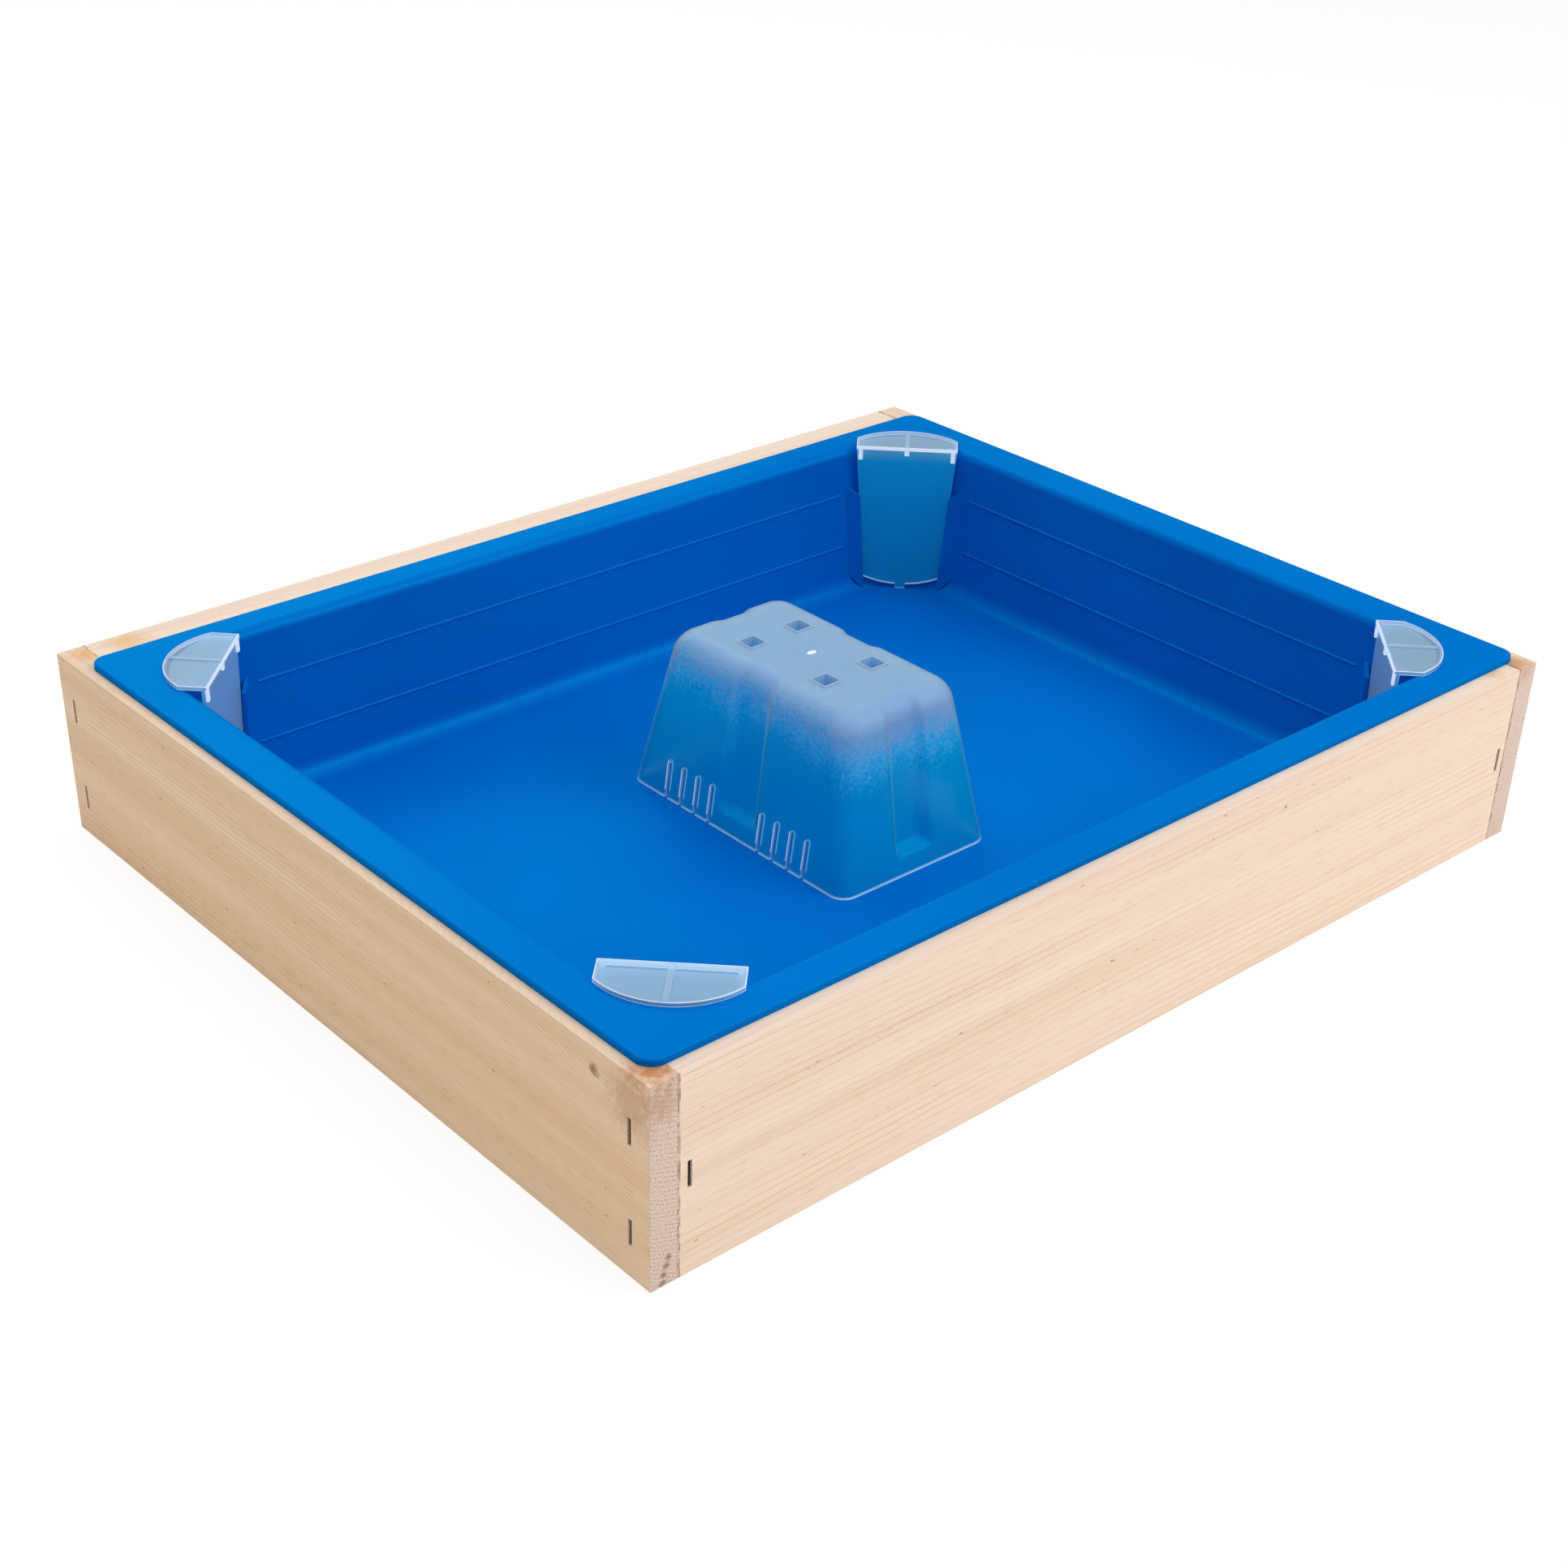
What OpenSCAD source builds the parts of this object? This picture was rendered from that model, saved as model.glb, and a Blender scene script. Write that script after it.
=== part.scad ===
// Hive top feeder for a ten frame hive.
// A stapled wooden rim carries a moulded tray by its flange. Bees climb up in the rim's four corners,
// cross the low corner walls of the tray and drink behind four clear corner guards. A clear slotted
// cover stands loose on the floor of the tray.
// Lengths are in millimetres and angles in degrees. +Z is up and X runs along the long boards.
// The origin is the middle of the rim's underside.

/* [Rim] */
// Length of the rim over its end boards
rim_l = 505; // [430:1:606]
// Width of the rim over its front and back boards
rim_w = 413; // [344:1:496]
// Height of the rim boards
rim_h = 87; // [72:1:105]
// Thickness of the rim boards
board_t = 22; // [18:0.5:27]
// Depth of the rabbet that takes the end of a long board
rabbet_d = 9.5; // [6:0.5:14]

/* [Staples] */
// Width of a staple over its legs
staple_w = 11; // [9:0.5:14]
// Length of the staple legs
staple_l = 32; // [26:1:38]
// Thickness of the staple wire
staple_wire = 1.4; // [1:0.1:2]
// Depth of the staple's back below the face of the board
staple_sink = 0.8; // [0.3:0.1:2]
// Play between a staple and the wood round it
staple_fit = 0.1; // [0.05:0.05:0.3]
// Height of the lower staples above the bottom of the rim
staple_low = 20; // [15:1:28]
// Depth of the upper staples below the top of the rim
staple_high = 24; // [16:1:28]

/* [Tray] */
// Play between the tray wall and each end board
tray_play_l = 1.1; // [0.5:0.1:4]
// Play between the tray wall and each long board when the tray is centred
tray_play_w = 6.6; // [1:0.1:8]
// Gap left at the front board, where the tray has been pushed forward
tray_front_gap = 0.3; // [0.3:0.1:0.9]
// Wood that shows past each end of the flange
rim_show_l = 5; // [2:0.5:10]
// Wood that shows past each side of the flange when the tray is centred
rim_show_w = 13.5; // [8:0.5:15]
// Thickness of the flange
flange_t = 3; // [2:0.1:4]
// Radius of the flange corners
flange_r = 7.5; // [5:0.5:16]
// Rounding of the flange's upper edge
flange_edge_r = 1; // [0.4:0.1:1.5]
// Thickness of the tray's walls and floor
tray_t = 2.4; // [1.8:0.1:3]
// Bee space under the floor of the tray
bee_space = 8.6; // [6:0.1:10]
// Inside radius of the basin corners
corner_r = 36; // [30:0.5:43]
// Draft of the basin walls
wall_draft = 3.5; // [1:0.5:5]
// Fillet between the basin walls and the floor
floor_fillet = 8.5; // [6:0.5:10.5]
// Rounding between the basin walls and the flange
lip_r = 5; // [3.5:0.5:6]
// Depth of the corner walls' tops below the top of the flange
weir_drop = 10; // [8:0.5:14]
// Proud height of the long beads on the basin walls
bead_h = 0.7; // [0.4:0.1:1]
// Height of the lower beads above the floor
bead_low = 25; // [18:1:30]
// Height of the upper beads above the floor
bead_high = 54; // [40:1:55]
// Clear length between a bead's end and the guide rib next to it
bead_stop = 4; // [2:0.5:8]

/* [Guide ribs] */
// Thickness of a guide rib
guide_t = 2; // [1.4:0.1:3]
// Gap between a guide rib and the guard's plate
guide_gap = 0.4; // [0.3:0.1:0.8]
// Overlap of a guide rib in front of the plate's edge
guide_lap = 0.8; // [0.4:0.1:1.6]
// Depth of a guide rib's knee below the corner wall's top
guide_drop = 16; // [10:0.5:24]
// Height of the sloped top of a guide rib
guide_slope = 5; // [3:0.5:8]

/* [Corner guards] */
// Distance of the plate from the point where the two basin walls would meet
guard_set = 31; // [28:0.1:33]
// Gap between the back edges of the plate and the basin walls
guard_gap = 3.4; // [0.4:0.1:4]
// Thickness of the plate
guard_t = 1.5; // [1.2:0.1:2]
// Height of the foot that leaves the plate clear of the floor
foot_h = 2.4; // [2.2:0.1:4]
// Width of the foot
foot_w = 5.5; // [4:0.5:8]
// Gap under the foot, because the lid carries the guard
foot_gap = 0.2; // [0.1:0.1:0.5]
// Radius of the plate's bowed lower edge
plate_bow_r = 56; // [48:1:60]
// Thickness of the lid
lid_t = 1.5; // [1:0.1:2]
// Depth of the lid from its straight front to the crown of its arc
lid_depth = 25.2; // [22:0.1:28]
// Length of the lid's straight sides
lid_side = 12.6; // [8:0.1:15]
// Overhang of the lid in front of the plate
lid_over = 1.2; // [0.8:0.1:2]
// Height of the raised edge on the lid
lid_edge_h = 0.6; // [0.3:0.1:1]
// Width of the raised edge on the lid
lid_edge_w = 1.5; // [1:0.1:2]
// Width of the rib along the middle of the lid
lid_rib_w = 2.4; // [1.6:0.1:3]
// Seat of the lid on the flange round the opening
lid_lap = 2.5; // [1.5:0.1:4]
// Width of the tabs at the ends of the lid's front
tab_w = 2.2; // [1.6:0.1:3]
// Length of the tabs at the ends of the lid's front
tab_l = 5.5; // [4:0.5:7]
// Length of the tab where the lid's rib turns down
rib_tab_l = 2.5; // [1.5:0.5:4]

/* [Centre cover] */
// Width of the cover at its base, along X
cover_w = 89.6; // [80:0.1:108]
// Length of the cover at its base, along Y
cover_l = 145.6; // [135:0.1:175]
// Depth of the cover's top below the top of the flange
cover_drop = 1; // [0.5:0.1:6]
// Thickness of the cover's walls and roof
cover_t = 1.6; // [1.2:0.1:2]
// Draft of the cover's long sides
cover_side_draft = 8.1; // [5:0.1:9]
// Draft of the cover's ends
cover_end_draft = 10.2; // [7:0.1:11]
// Corner radius of the cover at its base
cover_base_r = 8; // [6:0.5:12]
// Corner radius of the cover at its top
cover_top_r = 12; // [10:0.5:16]
// Rounding round the cover's roof
cover_edge_r = 10; // [6:0.5:12]
// Place of the cover along X from the middle of the tray
cover_x = 3.3; // [-8:0.1:8]
// Place of the cover along Y from the middle of the tray
cover_y = 5.1; // [-8:0.1:8]
// Width of the flute in each long side
side_flute_w = 28; // [22:0.5:30]
// Width of the flute in each end
end_flute_w = 24; // [18:0.5:28]
// Depth of the flutes at the base
flute_d = 6; // [3:0.5:8]
// Depth of the flutes at the roof
flute_top_d = 2; // [1:0.5:6]
// Width of the slanted flank on each side of a flute
flute_flank = 6; // [3:0.5:8]
// Height of the plain wall below the flutes
flute_foot = 8; // [5:0.5:12]
// Height of the slope that leads into a flute
flute_slope = 5; // [3:0.5:8]
// Number of slots in each half of a long side
slot_count = 4; // [2:1:4]
// Distance of the first slot from the middle of the side
slot_first = 16.9; // [16:0.1:18]
// Spacing of the slots
slot_pitch = 9.9; // [8:0.1:11]
// Width of a slot
slot_w = 2.2; // [1.6:0.1:3]
// Height of a slot
slot_h = 18.5; // [14:0.5:22]
// Distance of the roof holes from the middle along X
hole_x = 13.65; // [12:0.05:15]
// Distance of the roof holes from the middle along Y
hole_y = 24.2; // [22:0.1:28]
// Width of the square roof holes
hole_w = 8.5; // [6:0.1:9.5]
// Thickness of the collar round a roof hole
collar_t = 1; // [0.8:0.1:1.4]
// Depth of the collar below the roof
collar_d = 6; // [4:0.5:10]
// Height of the collar's lip above the roof
collar_lip = 0.3; // [0.2:0.1:0.6]

/* [Hidden] */
$fn = 64;
// How far cuts run past the faces that they open
over = 1;
// Steps in the arcs of an outline
arc_n = 8;
// Steps in the curved flank of a flute
flank_n = 3;
// Shares of a rib's seat that sink into the wall behind it, which keeps the rib joined to the wall
sink_share = 0.5;

// Name of each corner and its sides along X and Y
CORNERS = [
    ["front_left", -1, -1],
    ["front_right", 1, -1],
    ["back_left", -1, 1],
    ["back_right", 1, 1],
];
// Name of each end staple and its height
END_STAPLES = [
    ["upper", rim_h - staple_high],
    ["lower", staple_low],
];

// Rim
tongue_t = board_t - rabbet_d;
long_board_l = rim_l - 2 * tongue_t;
side_staple_x = long_board_l / 2 - rabbet_d / 2;

// Heights in the tray
flange_z = rim_h;
flange_top = rim_h + flange_t;
floor_z = bee_space + tray_t;
lip_z = flange_top - lip_r;
weir_z = flange_top - weir_drop;

// Plan of the tray, where (corner_x, corner_y) is the centre of a basin corner's curve
tray_y = tray_front_gap - tray_play_w;
corner_x = rim_l / 2 - board_t - tray_play_l - tray_t - corner_r;
corner_y = rim_w / 2 - board_t - tray_play_w - tray_t - corner_r;
flange_x = rim_l / 2 - rim_show_l - flange_r;
flange_y = rim_w / 2 - rim_show_w - flange_r;
lip_edge = corner_r + lip_r / cos(wall_draft);
lip_seat = tray_t;
fillet_z = floor_z + floor_fillet;
fillet_at = wall_at(fillet_z) - floor_fillet / cos(wall_draft);

// Corner guards, measured along the corner's diagonal from the centre of its curve
guard_at = sqrt(2) * corner_r - guard_set;
lid_at = guard_at - lid_over;
lid_w = 2 * plate_half(flange_top);
lid_rise = lid_depth - lid_side;
lid_arc_r = (pow(lid_w / 2, 2) + pow(lid_rise, 2)) / (2 * lid_rise);
lid_arc_at = lid_at + lid_depth - lid_arc_r;
plate_z = floor_z + foot_h;
bow_angle = asin(plate_half(plate_z) / plate_bow_r);
foot_z = floor_z + foot_gap + fillet_rise(sqrt(pow(guard_at + guard_t, 2) + pow(foot_w / 2, 2)));
guide_at = guard_at - guide_gap - guide_t;
guide_knee = weir_z - guide_drop;

// Cover
cover_h = flange_top - cover_drop - floor_z;
roof_z = cover_h - cover_t;
slot_span = cover_w + 2 * over;

// Distance of the basin wall's inner face from the centre of the corner curve, at height z
function wall_at(z) = corner_r - (lip_z - z) * tan(wall_draft);
// Distance across the diagonal from the corner's middle line to the wall, at height z: to the straight
// wall from a place near the centre of the curve, and to the curve itself from further out
function wall_across(z, along) =
    let (out = wall_at(z))
    sqrt(2) * along < out ? sqrt(2) * out - along : sqrt(pow(out, 2) - pow(along, 2));
// Half the width of the guard's plate at height z
function plate_half(z) = wall_across(z, guard_at + guard_t) - guard_gap;
// Rise of the floor fillet at a distance out from the centre of the corner curve
function fillet_rise(out) =
    out < fillet_at ? 0 : floor_fillet - sqrt(pow(floor_fillet, 2) - pow(out - fillet_at, 2));
// Points along an arc from one angle to another
function arc(centre, r, from, to) = [
    for (i = [0:arc_n])
        let (a = from + (to - from) * i / arc_n)
        [centre.x + r * cos(a), centre.y + r * sin(a)]
];
function turned(p, a) = [p.x * cos(a) - p.y * sin(a), p.x * sin(a) + p.y * cos(a)];

// The back right corner's geometry, carried to the corner that c names
module mirrored_to(c) {
    mirror([c[1] < 0 ? 1 : 0, 0, 0])
        mirror([0, c[2] < 0 ? 1 : 0, 0])
            children();
}

// The corner frame of the tray: X runs out along the diagonal, from the centre of the corner's curve
module at_tray_corner(c) {
    translate([c[1] * corner_x, tray_y + c[2] * corner_y, 0])
        rotate([0, 0, atan2(c[2], c[1])])
            children();
}

// Staples in the frame of the wood's face, which is at x = 0 with the wood behind it
module staple_shape(fit, slot) {
    wire = staple_wire + 2 * fit;
    back = staple_w + 2 * fit;
    translate([-staple_sink - staple_wire - fit, -wire / 2, -back / 2])
        cube([staple_wire + fit + slot, wire, back]);
    for (leg = [-1, 1])
        translate([-staple_sink - staple_l - fit, -wire / 2, (leg * (back - wire) - wire) / 2])
            cube([staple_l + fit, wire, wire]);
}

module end_staple_place(z) {
    translate([rim_l / 2, (rim_w - board_t) / 2, z])
        children();
}

module side_staple_place() {
    translate([side_staple_x, rim_w / 2, rim_h / 2])
        rotate([0, 0, 90])
            children();
}

// The slots that the staples of one corner leave in the wood
module staple_slots() {
    for (s = END_STAPLES)
        end_staple_place(s[1])
            staple_shape(staple_fit, staple_sink + over);
    side_staple_place()
        staple_shape(staple_fit, staple_sink + over);
}

module end_staple(c, z) {
    color("silver")
        mirrored_to(c)
            end_staple_place(z)
                staple_shape(0, 0);
}

module side_staple(c) {
    color("silver")
        mirrored_to(c)
            side_staple_place()
                staple_shape(0, 0);
}

// A long board lies between the tongues of the end boards
module long_board(side) {
    color("burlywood")
        difference() {
            translate([-long_board_l / 2, (side * (rim_w - board_t) - board_t) / 2, 0])
                cube([long_board_l, board_t, rim_h]);
            for (c = CORNERS)
                if (c[2] == side)
                    mirrored_to(c)
                        staple_slots();
        }
}

// An end board covers the ends of both long boards and is rabbeted to take them
module end_board(side) {
    color("burlywood")
        difference() {
            translate([(side * (rim_l - board_t) - board_t) / 2, -rim_w / 2, 0])
                cube([board_t, rim_w, rim_h]);
            for (c = CORNERS)
                if (c[1] == side)
                    mirrored_to(c) {
                        translate([rim_l / 2 - board_t - over, rim_w / 2 - board_t, -over])
                            cube([rabbet_d + over, board_t + over, rim_h + 2 * over]);
                        staple_slots();
                    }
        }
}

// A section carried round a rectangle whose corner curves have their centres at (x, y)
module swept(x, y) {
    for (side = [0:3]) {
        across = side % 2 == 0 ? x : y;
        along = side % 2 == 0 ? y : x;
        rotate([0, 0, 90 * side])
            translate([across, along, 0]) {
                rotate_extrude(angle = 90)
                    children();
                rotate([90, 0, 0])
                    linear_extrude(2 * along)
                        children();
            }
    }
}

module slab(x, y, from, to) {
    translate([-x, -y, from])
        cube([2 * x, 2 * y, to - from]);
}

// Section of the basin from the floor up to the lip, measured out from the centre of the corner curve
module basin_section() {
    fillet = [fillet_at, fillet_z];
    outer_wall = wall_at(flange_z) + tray_t / cos(wall_draft);
    polygon(concat(
        [[0, floor_z]],
        arc(fillet, floor_fillet, -90, -wall_draft),
        arc([lip_edge, lip_z], lip_r, 180 - wall_draft, 90),
        [[lip_edge + lip_seat, flange_top], [lip_edge + lip_seat, flange_z], [outer_wall, flange_z]],
        arc(fillet, floor_fillet + tray_t, -wall_draft, -90),
        [[0, bee_space]]
    ));
}

// Section of the flange's outer edge, measured out from the centre of the flange's corner
module flange_section() {
    polygon(concat(
        [[0, flange_z], [flange_r, flange_z]],
        arc([flange_r - flange_edge_r, flange_top - flange_edge_r], flange_edge_r, 0, 90),
        [[0, flange_top]]
    ));
}

module flange() {
    difference() {
        union() {
            swept(flange_x, flange_y)
                flange_section();
            slab(flange_x, flange_y, flange_z, flange_top);
        }
        swept(corner_x, corner_y)
            translate([0, flange_z - over])
                square([lip_edge, flange_t + 2 * over]);
        slab(corner_x, corner_y, flange_z - over, flange_top + over);
    }
}

// Outline of the lid, or of the opening under it where it is drawn in by inset
module lid_outline(inset) {
    intersection() {
        translate([lid_at + inset, inset - lid_w / 2])
            square([lid_depth, lid_w - 2 * inset]);
        translate([lid_arc_at, 0])
            circle(lid_arc_r - inset);
    }
}

// The bees' way over a corner: the corner wall is cut down and the flange is opened under the lid
module corner_way() {
    translate([0, 0, flange_z - over])
        linear_extrude(flange_t + 2 * over)
            lid_outline(lid_lap);
    rotate([0, 0, -45])
        translate([0, 0, weir_z])
            cube([lip_edge, lip_edge, flange_z - weir_z]);
}

// One of the two upright ribs that hold the plate of a corner guard from the front
module guide_rib(side) {
    along = guide_at + guide_t / 2;
    knee = plate_half(guide_knee) - guide_lap;
    toe = plate_half(fillet_z) - guide_lap;
    toe_z = floor_z + fillet_rise((along + toe) / sqrt(2)) - tray_t * sink_share;
    sink = tray_t * sqrt(2) * sink_share;
    top_z = guide_knee + guide_slope;
    translate([guide_at, 0, 0])
        rotate([90, 0, 90])
            linear_extrude(guide_t)
                polygon([
                    [side * toe, toe_z],
                    [side * knee, guide_knee],
                    [side * wall_across(top_z, along), top_z],
                    [side * (wall_across(top_z, along) + sink), top_z],
                    [side * (wall_across(fillet_z, along) + sink), fillet_z],
                ]);
}

// A bead is a round bar half sunk in the wall, which stops short of the guide ribs
module beads(z) {
    stop = wall_at(z) - sqrt(2) * guide_at + bead_stop;
    for (side = [0:3]) {
        across = side % 2 == 0 ? corner_x : corner_y;
        along = (side % 2 == 0 ? corner_y : corner_x) - stop;
        rotate([0, 0, 90 * side])
            translate([across + wall_at(z), 0, z])
                rotate([90, 0, 0])
                    cylinder(r = bead_h, h = 2 * along, center = true);
    }
}

module tray() {
    color("royalblue") {
        difference() {
            translate([0, tray_y, 0]) {
                swept(corner_x, corner_y)
                    basin_section();
                slab(corner_x, corner_y, bee_space, floor_z);
                flange();
            }
            for (c = CORNERS)
                at_tray_corner(c)
                    corner_way();
        }
        translate([0, tray_y, 0]) {
            beads(floor_z + bead_low);
            beads(floor_z + bead_high);
        }
        for (c = CORNERS, side = [-1, 1])
            at_tray_corner(c)
                guide_rib(side);
    }
}

// Front view of the guard's plate: it narrows with the basin, and its lower edge bows down to the foot
module plate_outline() {
    polygon(concat(
        [[plate_half(flange_top), flange_top], [-plate_half(flange_top), flange_top]],
        arc([0, plate_z + plate_bow_r], plate_bow_r, -90 - bow_angle, -90 + bow_angle)
    ));
    translate([-foot_w / 2, foot_z])
        square([foot_w, plate_z + guard_t - foot_z]);
}

module corner_guard(c) {
    tab_at = plate_half(flange_top) - tab_w;
    edge_z = flange_top + lid_t;
    color("lightsteelblue", 0.6)
        at_tray_corner(c) {
            translate([guard_at, 0, 0])
                rotate([90, 0, 90])
                    linear_extrude(guard_t)
                        plate_outline();
            translate([0, 0, flange_top])
                linear_extrude(lid_t)
                    lid_outline(0);
            translate([0, 0, edge_z])
                linear_extrude(lid_edge_h)
                    difference() {
                        lid_outline(0);
                        lid_outline(lid_edge_w);
                    }
            translate([lid_at, -lid_rib_w / 2, edge_z])
                cube([lid_depth - lid_edge_w, lid_rib_w, lid_edge_h]);
            translate([lid_at, -lid_rib_w / 2, flange_top - rib_tab_l])
                cube([lid_over, lid_rib_w, rib_tab_l]);
            for (side = [-1, 1])
                translate([lid_at, side * tab_at - tab_w / 2, flange_top - tab_l])
                    cube([lid_over, tab_w, tab_l]);
        }
}

// Sizes of the cover's outline at height z above its base
function cover_half_w(z) = cover_w / 2 - z * tan(cover_side_draft);
function cover_half_l(z) = cover_l / 2 - z * tan(cover_end_draft);
function cover_corner_r(z) = cover_base_r + (cover_top_r - cover_base_r) * z / cover_h;
// Depth of the flutes at height z, which grows over the slope above the foot and then fades to the roof
function flute_at(z) =
    (flute_d + (flute_top_d - flute_d) * z / cover_h) * max(0, min(1, (z - flute_foot) / flute_slope));
// A share that starts and ends gently, for the flanks of the flutes
function eased(share) = share * share * (3 - 2 * share);
// One side of the cover's outline, with its flute, and the corner after it
function cover_side(turn, out, half, r, flute, depth) = [
    for (p = concat(
        [for (i = [0:flank_n]) [out - depth * eased(i / flank_n), flute_flank * i / flank_n - flute]],
        [for (i = [flank_n:-1:0]) [out - depth * eased(i / flank_n), flute - flute_flank * i / flank_n]],
        arc([out - r, half - r], r, 0, 90)
    ))
        turned(p, turn)
];
// The cover's outline at height z, drawn in by inset
function cover_ring(z, inset) =
    let (
        w = cover_half_w(z) - inset,
        l = cover_half_l(z) - inset,
        r = max(cover_corner_r(z) - inset, cover_t / 2),
        d = flute_at(z)
    )
    [
        for (half_turn = [0, 180])
            for (p = concat(
                cover_side(half_turn, w, l, r, side_flute_w / 2, d),
                cover_side(half_turn + 90, l, w, r, end_flute_w / 2, d)
            ))
                [p.x, p.y, z]
    ];
// The rings of one face of the shell from the base up to the edge of the roof, drawn in by inset
function cover_rings(inset) =
    let (
        edge_z = cover_h - cover_edge_r,
        r = cover_edge_r - inset
    )
    concat(
        [for (z = [0, flute_foot, flute_foot + flute_slope]) cover_ring(z, inset)],
        [for (p = arc([inset + r, edge_z], r, 180, 90)) cover_ring(p.y, p.x)]
    );

// Rounded shell with a fluted wall: its outer rings, its inner rings and the middles of its roof
module cover_shell() {
    outer = cover_rings(0);
    inner = cover_rings(cover_t);
    n = len(outer[0]);
    rings = len(outer);
    inner_at = n * rings;
    roof_at = 2 * inner_at;
    points = concat(
        [for (ring = outer, p = ring) p],
        [for (ring = inner, p = ring) p],
        [[0, 0, cover_h], [0, 0, roof_z]]
    );
    sides = [
        for (k = [0:rings - 2], i = [0:n - 1])
            let (a = k * n + i, b = k * n + (i + 1) % n)
            each [[a, a + n, b + n], [a, b + n, b]]
    ];
    caps = [
        for (i = [0:n - 1])
            let (j = (i + 1) % n, top = inner_at - n, ceiling = roof_at - n)
            each [
                [roof_at, top + j, top + i],
                [roof_at + 1, ceiling + i, ceiling + j],
                [i, j, inner_at + j],
                [i, inner_at + j, inner_at + i],
            ]
    ];
    linings = [for (f = sides) [for (i = [2:-1:0]) f[i] + inner_at]];
    polyhedron(points, concat(sides, linings, caps));
}

module at_roof_holes() {
    for (x = [-hole_x, hole_x], y = [-hole_y, hole_y])
        translate([x, y, 0])
            children();
}

module centre_cover() {
    collar_w = hole_w + 2 * collar_t;
    color("lightsteelblue", 0.6)
        translate([cover_x, tray_y + cover_y, floor_z])
            difference() {
                union() {
                    cover_shell();
                    at_roof_holes()
                        translate([-collar_w / 2, -collar_w / 2, roof_z - collar_d])
                            cube([collar_w, collar_w, collar_d + cover_t + collar_lip]);
                }
                at_roof_holes()
                    translate([-hole_w / 2, -hole_w / 2, roof_z - collar_d - over])
                        cube([hole_w, hole_w, collar_d + cover_t + collar_lip + 2 * over]);
                for (half = [-1, 1], i = [0:slot_count - 1])
                    translate([-slot_span / 2, half * (slot_first + i * slot_pitch), 0])
                        rotate([90, 0, 90])
                            linear_extrude(slot_span) {
                                translate([-slot_w / 2, -over])
                                    square([slot_w, slot_h - slot_w / 2 + over]);
                                translate([0, slot_h - slot_w / 2])
                                    circle(d = slot_w);
                            }
            }
}

long_board(-1);  // front_board
long_board(1);  // back_board
end_board(-1);  // left_end_board
end_board(1);  // right_end_board
tray();
centre_cover();
for (c = CORNERS) {
    corner_guard(c);
    side_staple(c);
    for (s = END_STAPLES)
        end_staple(c, s[1]);
}
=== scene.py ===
# %% [markdown]
# # A hive top feeder
# The feeder stands on top of a beehive. A wooden rim carries a blue moulded tray that is filled with
# syrup. Bees climb up in the corners of the rim, cross the low corner walls of the tray and drink
# behind clear guards. A clear slotted cover stands loose on the tray's floor.
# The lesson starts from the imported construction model, which gives the place and size of each piece.

# %% Load the frame
import math
from contextlib import contextmanager

import bmesh
import bpy
from mathutils import Matrix, Vector


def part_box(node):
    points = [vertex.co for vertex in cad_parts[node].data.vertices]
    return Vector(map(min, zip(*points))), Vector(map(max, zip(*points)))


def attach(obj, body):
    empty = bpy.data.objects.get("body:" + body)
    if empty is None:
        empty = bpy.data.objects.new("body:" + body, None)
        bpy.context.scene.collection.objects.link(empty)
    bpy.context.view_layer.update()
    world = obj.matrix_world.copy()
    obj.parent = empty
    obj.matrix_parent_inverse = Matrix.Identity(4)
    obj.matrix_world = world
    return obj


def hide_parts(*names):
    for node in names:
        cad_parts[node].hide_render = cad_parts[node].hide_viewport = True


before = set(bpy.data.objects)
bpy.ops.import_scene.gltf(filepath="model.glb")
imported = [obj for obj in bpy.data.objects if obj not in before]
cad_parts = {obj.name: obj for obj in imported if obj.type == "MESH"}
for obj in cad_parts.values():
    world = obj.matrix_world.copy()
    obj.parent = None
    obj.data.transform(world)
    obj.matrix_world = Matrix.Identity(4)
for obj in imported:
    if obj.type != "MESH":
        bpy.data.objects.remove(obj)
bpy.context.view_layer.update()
MM = 0.001
print("construction nodes:", len(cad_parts))

# %% [markdown]
# ## Working as by hand
# Each piece starts as a primitive. It is then shaped in edit mode, where faces and edges are chosen by
# their place, and finished with modifiers. These few helpers keep one piece selected at a time, because
# an operator acts on all that is selected. Lengths under CLOSE count as none.

# %% Helpers for selecting and shaping
SLIVER = 0.004 * MM
CLOSE = 0.02 * MM


def only(piece):
    bpy.ops.object.select_all(action="DESELECT")
    piece.select_set(True)
    bpy.context.view_layer.objects.active = piece


def settle(piece):
    """Puts a piece's place and turn into its mesh, so that its object sits at the origin."""
    only(piece)
    bpy.ops.object.transform_apply(location=True, rotation=True, scale=True)
    return piece


def start(kind, **settings):
    bpy.ops.object.select_all(action="DESELECT")
    getattr(bpy.ops.mesh, f"primitive_{kind}_add")(**settings)
    return settle(bpy.context.object)


def block(low, high):
    low, high = Vector(low), Vector(high)
    return start("cube", size=1, location=(low + high) / 2, scale=high - low)


@contextmanager
def editing(piece, mode="FACE"):
    only(piece)
    bpy.ops.object.mode_set(mode="EDIT")
    bpy.ops.mesh.select_mode(type=mode)
    bpy.ops.mesh.select_all(action="SELECT")
    yield
    bpy.ops.object.mode_set(mode="OBJECT")


def choose(piece, kind, test):
    """Selects the verts, edges or faces for which test is true."""
    bpy.ops.mesh.select_all(action="DESELECT")
    mesh = bmesh.from_edit_mesh(piece.data)
    for item in getattr(mesh, kind):
        if test(item):
            item.select_set(True)
    mesh.select_flush_mode()
    bmesh.update_edit_mesh(piece.data)


def finish_with(piece, kind, **settings):
    only(piece)
    modifier = piece.modifiers.new(kind.title(), kind)
    for name, value in settings.items():
        setattr(modifier, name, value)
    bpy.ops.object.modifier_apply(modifier=modifier.name)


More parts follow.
